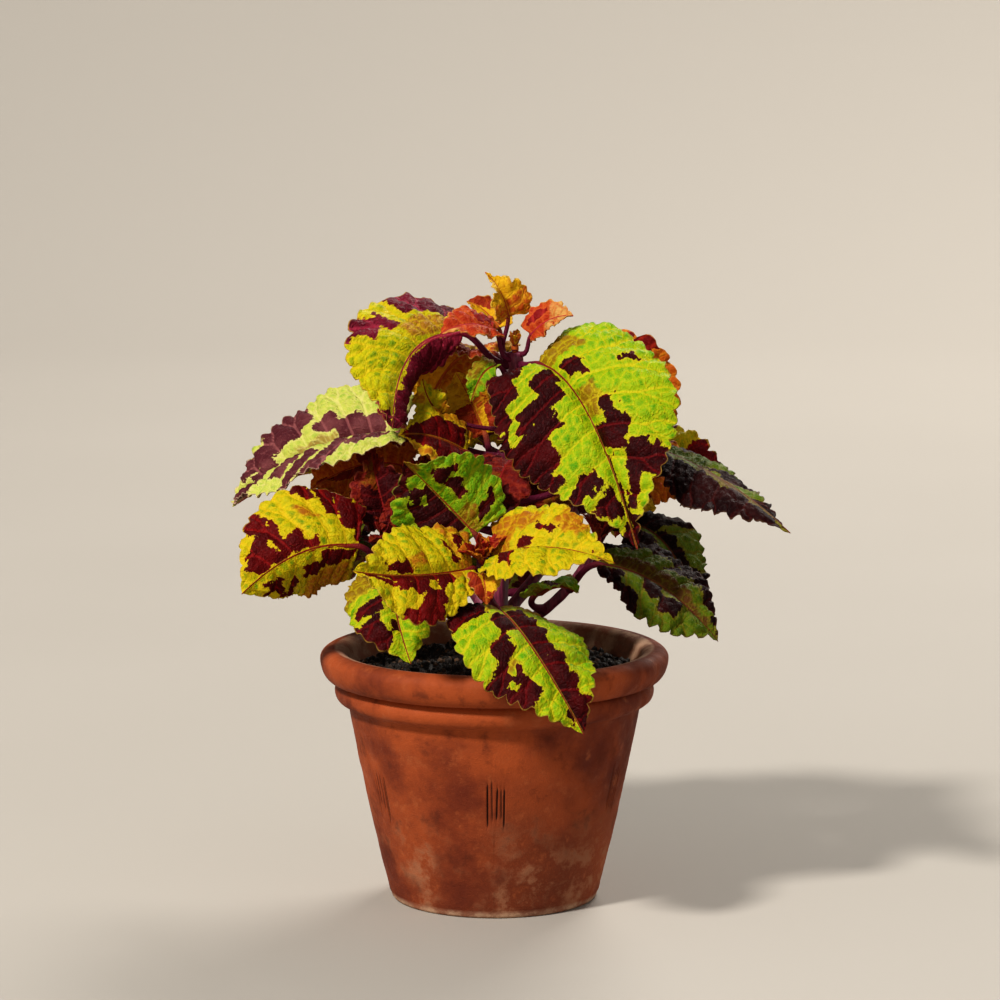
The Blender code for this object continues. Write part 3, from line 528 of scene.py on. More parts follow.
def cells(x, y, seed):
    """Cells about one unit wide: the distance to the nearest cell's edge, and that cell's random value."""
    draw = np.random.default_rng(seed)
    spots = draw.uniform(0.12, 0.88, (TABLE, TABLE, 2))
    values = draw.uniform(0, 1, (TABLE, TABLE))
    here = np.stack([x, y], -1)[..., None, :]
    around = np.stack(np.meshgrid(range(-2, 3), range(-2, 3), indexing="ij"), -1).reshape(-1, 2)
    square = np.floor(here).astype(int) + around
    spot = spots[square[..., 0] % TABLE, square[..., 1] % TABLE] + square
    away = np.hypot(spot[..., 0] - here[..., 0], spot[..., 1] - here[..., 1])
    two = np.argsort(away, axis=-1)[..., :2]
    near, far = np.moveaxis(np.take_along_axis(away, two, -1), -1, 0)
    pair = np.take_along_axis(spot, two[..., None], -2)
    apart = np.linalg.norm(pair[..., 1, :] - pair[..., 0, :], axis=-1)
    own = np.take_along_axis(square, two[..., :1, None], -2)[..., 0, :] % TABLE
    return (far ** 2 - near ** 2) / (2 * np.maximum(apart, 1e-6)), values[own[..., 0], own[..., 1]]


class Midrib:
    """The curve of a leaf's midrib, read by its share of the length."""

    def __init__(self, leaf):
        self.controls = [np.array(point, float) for point in (leaf.base, leaf.arch, leaf.tip)]
        self.shares = np.linspace(0, 1, 200)
        points = bezier(self.controls, self.shares)
        steps = np.linalg.norm(np.diff(points, axis=0), axis=1)
        self.travel = np.concatenate([[0], np.cumsum(steps)])
        self.length = self.travel[-1]
        self.roll = np.radians(leaf.roll)
        if leaf.side is not None:
            self.side = np.array(leaf.side, float)
        else:
            run = self.controls[2] - self.controls[0]
            heading = np.arctan2(run[1], run[0]) if leaf.heading is None else np.radians(leaf.heading)
            self.side = np.array([np.sin(heading), -np.cos(heading), 0.0])

    def frame(self, along):
        """Point, tangent, side and upward normal. Below 0 the curve goes on straight."""
        along = np.asarray(along, float)
        share = np.interp(np.clip(along, 0, 1) * self.length, self.travel, self.shares)
        base, arch, tip = self.controls
        late = share[..., None]
        tangent = unit(2 * (1 - late) * (arch - base) + 2 * late * (tip - arch))
        point = bezier(self.controls, share) + tangent * (np.minimum(along, 0) * self.length)[..., None]
        side = unit(self.side - tangent * (tangent @ self.side)[..., None])
        normal = np.cross(side, tangent)
        turned_side = side * np.cos(self.roll) + normal * np.sin(self.roll)
        turned_normal = normal * np.cos(self.roll) - side * np.sin(self.roll)
        return point, tangent, turned_side, turned_normal


class Blade:
    """A leaf's blade as a bent sheet: a row is a share of the margin, reach the share of the way to it."""

    def __init__(self, leaf):
        self.leaf = leaf
        self.midrib = Midrib(leaf)
        self.rows = np.linspace(0, 1, 600)
        self.runs = {}
        for hand in (-1, 1):
            x, out = self.edge(self.rows, hand)
            self.runs[hand] = np.concatenate([[0], np.cumsum(np.hypot(np.diff(x), np.diff(out)))])

    def edge(self, row, hand):
        """The margin without its scallops: distance along the midrib and away from it, in millimetres."""
        return (row - self.back(row, hand)) * self.midrib.length, self.margin(row, hand)

    def back(self, row, hand):
        """How far the lobe beside the stalk reaches back, as a share of the length."""
        return self.leaf.lobe[half_of(hand)] * (1 - row) ** 5 * np.minimum(1, row * 14)

    def even_rows(self, count):
        """Rows that lie closer together where the margin runs away from the midrib."""
        way = 0.4 * self.rows + sum(0.3 * run / run[-1] for run in self.runs.values())
        return np.interp(np.linspace(0, 1, count), way, self.rows)

    def scallops(self, row, hand):
        """How far the margin's rounded lobes stand out, in millimetres."""
        leaf = self.leaf
        run = self.runs[hand]
        count = max(5, round(run[-1] / np.clip(run[-1] / 9, SMALLEST_LOBE, LARGEST_LOBE)))
        depth = min(LOBE_DEPTH * run[-1] / count, 0.08 * self.midrib.length)
        beat = count * np.interp(row, self.rows, run) / run[-1]
        depth = depth * (1 + LOBE_UNEVEN * soft_noise(beat / 1.6, 0 * beat + 0.5, round(run[-1] * 9)))
        large = 0.3 * leaf.tooth * leaf.width * (np.abs(np.sin(np.pi * leaf.teeth * row)) ** 0.8 - 0.35)
        small = depth * (np.abs(np.sin(np.pi * beat)) ** LOBE_ROUND - 0.5)
        return (small + large) * np.sin(np.pi * row) ** 0.4

    def margin(self, row, hand):
        """The margin's distance from the midrib, in millimetres."""
        skew = np.log(0.5) / np.log(self.leaf.wide[half_of(hand)])
        bulge = np.maximum(np.sin(np.pi * np.clip(row, 0, 1) ** skew), 0)
        wide = self.leaf.width / 2 * bulge ** (0.5 + 0.75 * self.leaf.sharp * row)
        neck = 0.82 * self.leaf.stalk * (1 - np.clip(row * 12, 0, 1))
        return np.maximum(wide, neck)

    def flat(self, row, reach, hand):
        """Where a row's point lies on the flat blade: share of the length, distance from the midrib."""
        root = row ** VEIN_SWEEP
        along = root + (row - root) * reach ** COLUMN_SWEEP
        return along - self.back(row, hand) * reach ** 2, self.margin(row, hand) * reach

    def scalloped(self, row, reach, hand):
        """The same, with the margin's lobes standing square to the margin."""
        along, out = self.flat(row, reach, hand)
        before = self.edge(np.clip(row - 0.004, 0, 1), hand)
        after = self.edge(np.clip(row + 0.004, 0, 1), hand)
        ahead, apart = after[0] - before[0], after[1] - before[1]
        lobe = self.scallops(row, hand) * reach ** 7 / (np.hypot(ahead, apart) + 1e-9)
        return along - lobe * apart / self.midrib.length, out + lobe * ahead

    def place(self, along, out, hand, reach):
        """The bent sheet's points, hand -1 on the left half and 1 on the right."""
        leaf = self.leaf
        fold = np.radians(leaf.fold[half_of(hand)])
        bend = np.radians(leaf.curl[half_of(hand)]) / (leaf.width / 2)
        point, tangent, side, normal = self.midrib.frame(along)
        angle = fold + bend * out
        sideways = (np.sin(angle) - np.sin(fold)) / bend
        upwards = (np.cos(fold) - np.cos(angle)) / bend
        sheet = point + side * (hand * sideways)[..., None] + normal * upwards[..., None]
        facing = normal * np.cos(angle)[..., None] - side * (hand * np.sin(angle))[..., None]
        phase = sum(leaf.base) + (0.9 if hand > 0 else 0.0)
        ripple = leaf.wave * reach ** 2 * np.sin(2 * np.pi * RIPPLES * along + phase)
        ripple = ripple * np.sin(np.pi * np.clip(along, 0, 1)) ** 0.4
        return sheet + facing * ripple[..., None]


def sectors(seed, teeth):
    """Strokes for a leaf that has none of its own: seeded sectors between its side veins."""
    draw = random.Random(seed)
    strokes = {}
    for half in (-1, 1):
        for kind in ("patch", "patch", "patch", "blush"):
            first = draw.randrange(teeth) / teeth + draw.uniform(-0.02, 0.02)
            start = draw.choice((0.0, 0.05, 0.3, 0.45))
            end = draw.choice((0.4, 0.7, 1.0)) if start < 0.2 else 1.0
            last = first + draw.choice((1, 1, 2)) / teeth
            strokes.setdefault((half, kind), []).append((first, last, start, end))
    return strokes


def painted(name):
    """A leaf's own strokes as shares, or nothing where it has none."""
    return {key: np.array(strokes) / 100 for key, strokes in PAINT.get(name, {}).items()}


def within(value, low, high, size):
    """How far inside low..high a share lies, in millimetres. A bound at 0 or 1 is open."""
    below = FAR if low <= 0 else (value - low) * size
    above = FAR if high >= 1 else (high - value) * size
    return np.minimum(below, above)


def paint_field(strokes, row, reach, length, wide):
    """How far inside the nearest of the strokes a leaf's points lie, in millimetres."""
    field = np.full(row.shape, -FAR)
    for first, last, start, end in strokes:
        inside = np.minimum(within(row, first, last, length), within(reach, start, end, wide))
        field = np.maximum(field, inside)
    return field


def half_blade(leaf, blade, hand, seed):
    """One half of a leaf as grids: upper points, lower points and what the colours are made from."""
    length = blade.midrib.length
    run = max(run[-1] for run in blade.runs.values())
    rows = blade.even_rows(max(24, round((length + run) / 2 / MESH_STEP)))
    columns = max(8, round(leaf.width / 2 / MESH_STEP))
    row, reach = np.meshgrid(rows, 1 - np.linspace(1, 0, columns + 1) ** 1.15, indexing="ij")
    along, out = blade.scalloped(row, reach, hand)
    sheet = blade.place(along, out, hand, reach)
    normal = unit(np.cross(np.gradient(sheet, axis=1), np.gradient(sheet, axis=0))) * hand
    x = along * length
    plain_x, plain_out = blade.flat(row, reach, hand)
    plain_x = plain_x * length
    dx, dy = np.gradient(plain_x, axis=1), np.gradient(plain_out, axis=1)
    apart = np.gradient(plain_x, rows, axis=0) * dy - np.gradient(plain_out, rows, axis=0) * dx
    spacing = np.abs(apart) / (np.hypot(dx, dy) + 1e-9) / leaf.teeth
    fork = smooth_step(0.62, 0.95, reach) * FORK
    to_vein = np.abs(np.abs(np.mod(row * leaf.teeth, 1) - 0.5) - fork)
    vein = to_vein * spacing
    cell, value = cells(x / CELL + 7.3 * seed, out / CELL + (20 if hand > 0 else 40), seed)
    cell = cell * CELL
    near_rib = smooth_step(0, 5, out)
    near_tip = smooth_step(0, 0.06, 1 - row)
    pillow = PILLOW * np.minimum(spacing, 12) * dome(to_vein * 2.6)
    pillow = pillow + CELL_PILLOW * dome(cell / CELL_SHOULDER)
    uneven = UNEVEN * soft_noise(x / UNEVEN_SIZE, out / UNEVEN_SIZE, seed + 5)
    relief = (pillow + uneven) * near_rib * near_tip
    wide = blade.margin(row, hand)
    rim = (1 - reach) * wide
    thick = MARGIN_THICKNESS + (BLADE - MARGIN_THICKNESS) * smooth_step(0, MARGIN_WIDTH, rim)
    ridge = RIB_RIDGE * (1 - along) * bell(out, RIB_RIDGE_WIDTH)
    ridge = ridge + VEIN_RIDGE * bell(vein, VEIN_RIDGE_WIDTH) * near_rib
    groove = RIB_GROOVE * (1 - row) ** 0.5 * bell(out, RIB_GROOVE_WIDTH)
    upper = sheet + normal * (relief + thick / 2 - groove)[..., None]
    lower = sheet + normal * (relief - thick / 2 - ridge * near_tip)[..., None]
    strokes = painted(leaf.name) or sectors(seed, leaf.teeth)
    bent_row = row + RAGGED_ROW * soft_noise(x / 5, out / 5, seed + 9)
    bent_reach = reach + RAGGED_REACH * soft_noise(x / 4, out / 4, seed + 10)
    patch, blush, clear = (paint_field(strokes.get((hand, kind), ()), bent_row, bent_reach, length, wide)
                           for kind in ("patch", "blush", "clear"))
    rib = out / (0.2 + 0.36 * (1 - row))
    rim = rim + 0.15 * np.maximum(0, 5 - wide)
    facts = dict(value=value, row=row, patch=np.minimum(patch, -clear), blush=np.minimum(blush, -clear))
    for name, distance in (("vein", vein), ("cell", cell), ("rim", rim), ("rib", rib)):
        facts[name] = np.minimum(distance, FAR)
    flat = np.stack([x, out * hand, np.full(x.shape, 60.0 * seed)], -1)
    return upper, lower, facts, flat


class Shell:
    """Collects points, faces and their facts, and makes one mesh of them."""

    FACTS = ("vein", "cell", "value", "rim", "rib", "row", "patch", "blush", "under", "stalk")

    def __init__(self):
        self.points = []
        self.flat = []
        self.facts = {name: [] for name in self.FACTS}
        self.faces = []
        self.count = 0

    def add(self, points, faces, facts, flat=None):
        """Adds points and faces of four corners. A fact is one value or one for each point."""
        points = np.asarray(points, float).reshape(-1, 3)
        self.faces.extend(face + self.count for face in faces)
        self.points.append(points)
        self.flat.append(points if flat is None else flat.reshape(-1, 3))
        for name, parts in self.facts.items():
            parts.append(np.broadcast_to(np.ravel(facts.get(name, 0.0)), len(points)))
        self.count += len(points)

    def mesh(self, name):
        faces = np.concatenate(self.faces)
        real = faces >= 0
        ends = np.cumsum(real.sum(axis=1))
        mesh = bpy.data.meshes.new(name)
        mesh.vertices.add(self.count)
        mesh.vertices.foreach_set("co", (np.concatenate(self.points) * MM).ravel())
        mesh.loops.add(int(ends[-1]))
        mesh.loops.foreach_set("vertex_index", faces[real])
        mesh.polygons.add(len(faces))
        mesh.polygons.foreach_set("loop_start", np.concatenate([[0], ends[:-1]]))
        mesh.update(calc_edges=True)
        for fact, parts in self.facts.items():
            mesh.attributes.new(fact, "FLOAT", "POINT").data.foreach_set("value", np.concatenate(parts))
        flat = mesh.attributes.new("flat", "FLOAT_VECTOR", "POINT")
        flat.data.foreach_set("vector", np.concatenate(self.flat).ravel())
        mesh.validate()
        mesh.shade_smooth()
        return mesh


def grid_faces(rows, columns, flip):
    """Quads over a grid of points."""
    index = np.arange(rows * columns).reshape(rows, columns)
    quads = np.stack([index[:-1, :-1], index[1:, :-1], index[1:, 1:], index[:-1, 1:]], -1).reshape(-1, 4)
    return quads[:, ::-1] if flip else quads


def ring_faces(rings, sides):
    """Quads over rings of points, facing out where the rings rise."""
    index = np.arange(rings * sides).reshape(rings, sides)
    after = np.roll(index, -1, axis=1)
    return np.stack([index[:-1], after[:-1], after[1:], index[1:]], -1).reshape(-1, 4)


def add_blade(shell, leaf, blade, seed):
    """Both halves of a blade, each an upper and a lower sheet joined along the margin and at the neck."""
    for hand in (-1, 1):
        upper, lower, facts, flat = half_blade(leaf, blade, hand, seed)
        rows, columns = upper.shape[:2]
        count = rows * columns
        above = grid_faces(rows, columns, hand < 0)
        below = grid_faces(rows, columns, hand > 0) + count
        edge = np.arange(rows) * columns + columns - 1
        rim = np.stack([edge[:-1], edge[1:], edge[1:] + count, edge[:-1] + count], -1)
        neck = np.arange(columns)
        mouth = np.stack([neck[1:], neck[:-1], neck[:-1] + count, neck[1:] + count], -1)
        if hand < 0:
            rim = rim[:, ::-1]
            mouth = mouth[:, ::-1]
        both = {name: np.tile(fact.ravel(), 2) for name, fact in facts.items()}
        both["under"] = np.repeat([0.0, 1.0], count)
        shell.add(np.stack([upper, lower]), [above, below, rim, mouth], both, np.stack([flat, flat]))


def add_tube(shell, centres, radii, sides, facts, squareness=0.0):
    """A closed tube along centres, with its ends capped. A fact is one value or one for each centre."""
    tangents = unit(np.gradient(centres, axis=0))
    across = np.array((1.0, 0.2, 0.0))
    rings = []
    angles = 2 * np.pi * np.arange(sides) / sides
    section = 1 + squareness * np.cos(4 * angles)
    for centre, tangent, radius in zip(centres, tangents, radii):
        across = unit(across - tangent * (across @ tangent))
        beside = np.cross(tangent, across)
        rim = np.cos(angles)[:, None] * across + np.sin(angles)[:, None] * beside
        rings.append(centre + rim * (radius * section)[:, None])
    count = len(centres)
    points = np.concatenate([*rings, centres[:1], centres[-1:]])
    first = np.arange(sides)
    after = np.roll(first, -1)
    last = (count - 1) * sides
    middle = np.full(sides, count * sides)
    blank = np.full(sides, NO_CORNER)
    caps = [np.stack([middle, after, first, blank], -1),
            np.stack([middle + 1, first + last, after + last, blank], -1)]
    spread = {}
    for name, fact in {**BARE, **facts}.items():
        fact = np.broadcast_to(np.asarray(fact, float), count)
        spread[name] = np.concatenate([np.repeat(fact, sides), fact[:1], fact[-1:]])
    shell.add(points, [ring_faces(count, sides), *caps], spread)


def stalk_path(leaf, midrib, seat, rise):
    """The stalk's line from inside the stem to the blade's mouth, and on under the blade as its midrib."""
    mouth, tangent = (part[0] for part in midrib.frame(np.array([0.0]))[:2])
    span = np.linalg.norm(mouth - seat)
    controls = (seat, seat + rise * span * 0.4, mouth - tangent * span * 0.35, mouth)
    stalk = bezier(controls, np.linspace(0, 1, max(4, round(span / 1.5))))
    root = seat - rise * (GAP + 1.2)
    along = np.linspace(0.02, 0.985, max(6, round(midrib.length / 2.5)))
    points, _, _, normal = midrib.frame(along)
    rib_radii = leaf.stalk * (0.62 * (1 - along) ** 0.8 + 0.12)
    rib = points - normal * ((rib_radii + 0.3) * smooth_step(0, 0.12, along))[:, None]
    path = np.concatenate([[root], stalk, rib])
    swell = 1 + 0.35 * bell(np.linspace(0, 6, len(stalk)), 1.0)
    stalk_radii = leaf.stalk * (1.02 - 0.12 * np.linspace(0, 1, len(stalk))) * swell
    radii = np.concatenate([[stalk_radii[0] * 1.1], stalk_radii, rib_radii])
    share = np.concatenate([[0], np.linspace(0, 1, len(stalk)), 1 + along])
    return path, radii, share


def add_leaf(shell, leaf, seat, rise, seed):
    blade = Blade(leaf)
    add_blade(shell, leaf, blade, seed)
    path, radii, share = stalk_path(leaf, blade.midrib, seat, rise)
    add_tube(shell, path, radii, STALK_SIDES, dict(row=share))


def add_object(name, mesh, material):
    new = bpy.data.objects.new(name, mesh)
    bpy.context.scene.collection.objects.link(new)
    new.data.materials.append(material)
    return new


def add_piece(node, shell, material):
    """A finished piece on the part's one body, standing for its node."""
    piece = add_object("fine_" + node, shell.mesh(node), material)
    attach(piece, "root")
    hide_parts(node)


def stem_named(name):
    return next(stem for stem in STEMS if stem.name == name)


def make_leaves(surfaces):
    for number, leaf in enumerate(LEAVES):
        shell = Shell()
        seat, rise = stem_named(leaf.stem).seat(leaf.share, leaf.base)
        add_leaf(shell, leaf, seat, rise, number + 1)
        add_piece("leaf_" + leaf.name, shell, surfaces[leaf.look])


def make_shoot(number, name, stem_name, axis, turn, size, look, surfaces):
    """Young leaves in crossed pairs round a bud at the end of a stem."""
    stem = stem_named(stem_name)
    draw = random.Random(name)
    axis = unit(axis)
    foot = stem.at(1.0) + stem.tangent(1.0) * GAP
    across = unit(np.cross(axis, (0.0, 1.0, 0.1)))
    beside = np.cross(axis, across)
    shell = Shell()
    share = np.linspace(0, 1, 14)
    bud = foot + axis * (BUD_LENGTH * share - 1.2 * (1 - share))[:, None]
    add_tube(shell, bud, BUD_RADIUS * np.maximum(np.sin(np.pi * share ** 0.8), 0.03), 16, dict(row=1.6))
    for pair, (length, width, opening) in enumerate(YOUNG_PAIRS):
        for half in (0, 1):
            around = np.radians(turn + 90 * pair + 180 * half + draw.uniform(-12, 12))
            out = across * np.cos(around) + beside * np.sin(around)
            tilt = np.radians(opening + draw.uniform(-6, 6))
            scale = size * draw.uniform(0.85, 1.1)
            rise = axis * np.cos(0.7 * tilt) + out * np.sin(0.7 * tilt)
            droop = axis * np.cos(1.5 * tilt) + out * np.sin(1.5 * tilt)
            seat = foot + axis * BUD_LENGTH * (0.28 + 0.16 * pair)
            base = seat + rise * BUD_RADIUS * 1.4
            arch = base + rise * length * scale / 2
            young = Leaf(name, stem_name, 1.0, base, arch, arch + droop * length * scale / 2,
                         width * scale, look, side=np.cross(rise, axis), fold=(25, 25), curl=(-15, -15),
                         teeth=4, tooth=0.06, lobe=(0.05, 0.05), wave=0.4, stalk=0.9)
            add_leaf(shell, young, seat, rise, 50 + 10 * number + 2 * pair + half)
    add_piece(name, shell, surfaces[look])


def make_stem(surface):
    """The branching stem, square-shouldered, with a collar where each leaf stands."""
    shell = Shell()
    for stem in STEMS:
        count = 70 if stem.name == "main" else 40
        shares = np.linspace(0, 1, count)
        radii = np.array([stem.radius(share) for share in shares])
        for leaf in LEAVES:
            if leaf.stem == stem.name:
                radii = radii * (1 + 0.07 * np.exp(-((shares - leaf.share) * 30) ** 2))
        add_tube(shell, bezier(stem.controls, shares), radii, STEM_SIDES, dict(row=shares * 0.5), SHOULDER)
    add_piece("stem", shell, surface)


def arc(centre, radii, first, last, count):
    angles = np.radians(np.linspace(first, last, count))
    return [(centre[0] + radii[0] * np.cos(a), centre[1] + radii[1] * np.sin(a)) for a in angles]


def line(start, end, count):
    """Points from start up to but without end."""
    shares = np.arange(count)[:, None] / count
    return [tuple(point) for point in np.array(start) * (1 - shares) + np.array(end) * shares]


def wall_radius(height):
    share = height / WALL_TOP_Z
    taper = (WALL_TOP_RADIUS - WALL_FOOT_RADIUS) * share
    return WALL_FOOT_RADIUS + taper + WALL_BULGE * share * (1 - share)


def inner_radius(height):
    share = (height - FLOOR_Z) / (WALL_TOP_Z - FLOOR_Z)
    return INNER_FOOT_RADIUS + (INNER_WALL_RADIUS - INNER_FOOT_RADIUS) * share


def pot_profile():
    """The turned pot's outline, from the drain hole's edge below, up the outside and down the inside."""
    roll_centre = (RIM_RADIUS - ROLL_RADIUS, RIM_WIDEST_Z)
    roll_rise = POT_HEIGHT - RIM_WIDEST_Z
    foot_corner = (WALL_FOOT_RADIUS - FOOT_ROUND, FOOT_ROUND)
    profile = line((DRAIN_RADIUS, 0.0), (WALL_FOOT_RADIUS - FOOT_ROUND, 0.0), 8)
    profile += arc(foot_corner, (FOOT_ROUND, FOOT_ROUND), -90, 0, 5)
    profile += [(wall_radius(height), height) for height in np.linspace(FOOT_ROUND + 2, WALL_TOP_Z, 46)]
    profile += arc((BAND_RADIUS - 3.5, BAND_Z), (3.5, BAND_HALF_HEIGHT), -80, 70, 12)
    profile += arc(roll_centre, (ROLL_RADIUS, ROLL_DROP), -96, 0, 14)
    profile += arc(roll_centre, (ROLL_RADIUS, roll_rise), 10, 180, 16)
    inner_top = (inner_radius(WALL_TOP_Z + 14), WALL_TOP_Z + 14)
    profile += line(inner_top, (inner_radius(FLOOR_Z + 2), FLOOR_Z + 2), 20)
    profile += line((INNER_FOOT_RADIUS - 2, FLOOR_Z), (DRAIN_RADIUS, FLOOR_Z), 6)
    return np.array(profile + [(DRAIN_RADIUS, FLOOR_Z), (DRAIN_RADIUS, FLOOR_Z / 2)])


def pot_turns():
    """Angles round the pot in degrees from its front, closer together where the wall is scored."""
    turns = np.arange(POT_SEGMENTS) * 360 / POT_SEGMENTS
    step = 360 / POT_SEGMENTS
    apart = [np.abs(np.mod(turns - middle + 180, 360) - 180) for middle in SCORES]
    turns = turns[np.min(apart, axis=0) > (SCORE_WIDTH + step) / 2]
    close = [np.mod(middle + np.linspace(-SCORE_WIDTH, SCORE_WIDTH, 37) / 2, 360) for middle in SCORES]
    return np.sort(np.concatenate([turns, *close]))


def scoring(turn, height):
    """How deep the pot's wall is scored: sheaves of short upright strokes, in millimetres."""
    draw = random.Random(31)
    depth = np.zeros(np.broadcast(turn, height).shape)
    for middle in SCORES:
        for stroke in range(SCORE_STROKES):
            place = middle + (stroke - 2 + draw.uniform(-0.3, 0.3)) * 1.75
            lean = draw.uniform(-0.02, 0.03)
            centre = 52 + draw.uniform(-4, 4)
            half_length = draw.uniform(8, 12)
            off = np.mod(turn - place - lean * (height - centre) + 180, 360) - 180
            inside = smooth_step(half_length, half_length * 0.55, np.abs(height - centre))
            depth = np.maximum(depth, draw.uniform(0.5, 1.0) * inside * bell(off, SCORE_HALF_WIDTH))
    return depth


def make_pot(surface):
    """The pot, turned from its profile, with the unevenness, knocks and scoring of a hand-finished wall."""
    profile = pot_profile()
    turns = pot_turns()
    sides = len(turns)
    radius, turn = np.meshgrid(profile[:, 0], turns, indexing="ij")
    height = np.repeat(profile[:, 1][:, None], sides, axis=1)
    outside = (np.arange(len(profile)) <= np.argmax(profile[:, 1]))[:, None] & (height > 3)
    around = turn / 360 * 64
    uneven = 0.14 * soft_noise(around / 4, height / 9, 3) + 0.06 * soft_noise(around, height / 2.5, 4)
    scored = scoring(turn, height)
    uneven = uneven - scored
    draw = random.Random(8)
    for _ in range(KNOCKS):
        place, level, size = draw.uniform(0, 360), draw.uniform(6, 108), draw.uniform(1.4, 3.4)
        away = np.hypot((np.mod(turn - place + 180, 360) - 180) * radius * DEGREE, (height - level) * 1.6)
        uneven = uneven - KNOCK_DEPTH * size / 3 * bell(away, size)
    radius = radius + np.where(outside, uneven, 0.0)
    angle = np.radians(turn - 90)
    points = np.stack([radius * np.cos(angle), radius * np.sin(angle), height], -1)
    quads = ring_faces(len(profile) + 1, sides) % height.size
    shell = Shell()
    # The scores' depth goes to the material as the patch fact, which paints shade into the grooves
    shell.add(points, [quads], dict(patch=np.where(outside, scored, 0.0), under=np.where(outside, 0.0, 1.0)))
    add_piece("pot", shell, surface)


def soil_height(x, y):
    """The soil's lumpy surface."""
    share = np.clip(np.hypot(x, y) / inner_radius(SOIL_EDGE_Z), 0, 1)
    crown = SOIL_CROWN_Z + (SOIL_EDGE_Z - SOIL_CROWN_Z) * share ** 2
    lumps = 1.3 * soft_noise(x / 9, y / 9, 21) + 0.8 * soft_noise(x / 3.6, y / 3.6, 22)
    return crown + lumps + 0.5 * soft_noise(x / 1.5, y / 1.5, 23) - 0.8


def make_soil(surface):
    """Lumpy soil with loose crumbs pressed into its surface."""
    edge = inner_radius(SOIL_EDGE_Z) - 0.1
    radii = edge * np.linspace(0, 1, SOIL_RINGS) ** 0.8
    turns = 2 * np.pi * np.arange(SOIL_SEGMENTS) / SOIL_SEGMENTS
    radius, angle = np.meshgrid(radii, turns, indexing="ij")
    x = radius * np.cos(angle)
    y = radius * np.sin(angle)
    top = np.stack([x, y, soil_height(x, y)], -1)
    wall = []
    for z in (WALL_TOP_Z, 40.0, FLOOR_Z + 2 + GAP, FLOOR_Z + GAP):
        reach = inner_radius(z) - 0.1 if z > FLOOR_Z + 1 else INNER_FOOT_RADIUS - 2 - GAP
        wall.append(np.stack([reach * np.cos(turns), reach * np.sin(turns), np.full(SOIL_SEGMENTS, z)], -1))
    wall.append(np.stack([0 * turns, 0 * turns, np.full(SOIL_SEGMENTS, FLOOR_Z + GAP)], -1))
    points = np.concatenate([top, wall])
    shell = Shell()
    shell.add(points, [ring_faces(len(points), SOIL_SEGMENTS)[:, INWARD]], {})
    add_crumbs(shell, edge)
    add_piece("soil", shell, surface)


def add_crumbs(shell, edge):
    """Loose crumbs: dented little lumps at seeded places, larger ones rarer."""
    ball = bmesh.new()
    bmesh.ops.create_icosphere(ball, subdivisions=1, radius=1.0)
    corners = np.array([corner.co[:] for corner in ball.verts])
    faces = np.array([[corner.index for corner in face.verts] for face in ball.faces])
    ball.free()
    draw = np.random.default_rng(77)
    faces = np.hstack([faces, np.full((len(faces), 1), NO_CORNER)])
    for _ in range(CRUMBS):
        reach = (edge - 1.5) * np.sqrt(draw.uniform())
        turn = draw.uniform(0, 2 * np.pi)
        size = 0.5 + 1.7 * draw.uniform() ** 2.6
        place = np.array([reach * np.cos(turn), reach * np.sin(turn), 0.0])
        place[2] = soil_height(place[0], place[1]) + size * draw.uniform(0.0, 0.55)
        lump = corners * draw.uniform(0.7, 1.25, (len(corners), 1)) * draw.uniform(0.6, 1.2, 3)
        shell.add(lump * size + place, [faces], dict(value=draw.uniform(), stalk=1.0))


class Surface:
    """A material as it is built up, and its colour under the coats laid so far."""

    def __init__(self, name, colour=None):
        self.material = bpy.data.materials.new(name)
        self.material.use_nodes = True
        self.tree = self.material.node_tree
        self.shader = self.tree.nodes["Principled BSDF"]
        self.colour = colour

    def feed(self, target, inputs):
        """Sets a node's inputs, each to a number, a colour or another node's output."""
        for key, value in inputs.items():
            if isinstance(value, bpy.types.NodeSocket):
                self.tree.links.new(value, target.inputs[key])
            else:
                target.inputs[key].default_value = value

    def node(self, kind, inputs, output, **settings):
        """Adds a shader node and gives one of its outputs."""
        new = self.tree.nodes.new("ShaderNode" + kind)
        for name, value in settings.items():
            setattr(new, name, value)
        self.feed(new, inputs)
        return new.outputs[output]

    def place(self):
        return self.node("TexCoord", {}, "Object")

    def height(self):
        return self.node("SeparateXYZ", {0: self.place()}, 2)

    def fact(self, name, output="Fac"):
        return self.node("Attribute", {}, output, attribute_name=name)

    def calc(self, operation, first, second, third=0.0):
        return self.node("Math", {0: first, 1: second, 2: third}, 0, operation=operation)

    def noise(self, place, scale, detail=3.0, roughness=0.55):
        inputs = {"Vector": place, "Scale": scale, "Detail": detail, "Roughness": roughness}
        return self.node("TexNoise", inputs, "Fac")

    def span(self, value, low, high, start=0.0, end=1.0):
        """The value mapped smoothly from low..high to start..end."""
        inputs = {"Value": value, "From Min": low, "From Max": high, "To Min": start, "To Max": end}
        return self.node("MapRange", inputs, 0, interpolation_type="SMOOTHSTEP")

    def blend(self, share, first, second, kind="MIX"):
        colours = [(*colour, 1.0) if isinstance(colour, tuple) else colour for colour in (first, second)]
        inputs = {0: share, 6: colours[0], 7: colours[1]}
        return self.node("Mix", inputs, 2, data_type="RGBA", blend_type=kind)

    def over(self, colour, coat, value, low, high, most=1.0):
        """The colour under a coat that comes on as the value goes from low to high."""
        return self.blend(self.span(value, low, high, 0.0, most), colour, coat)

    def coat(self, coat, value, low, high, most=1.0):
        self.colour = self.over(self.colour, coat, value, low, high, most)

    def finish(self, roughness, relief, strength, depth, specular=0.5):
        """Gives the shader its colour, its sheen, and a relief of that depth in metres."""
        normal = self.node("Bump", {"Height": relief, "Strength": strength, "Distance": depth}, "Normal")
        self.feed(self.shader, {"Base Color": self.colour, "Roughness": roughness,
                                "Specular IOR Level": specular, "Normal": normal})
        return self.material


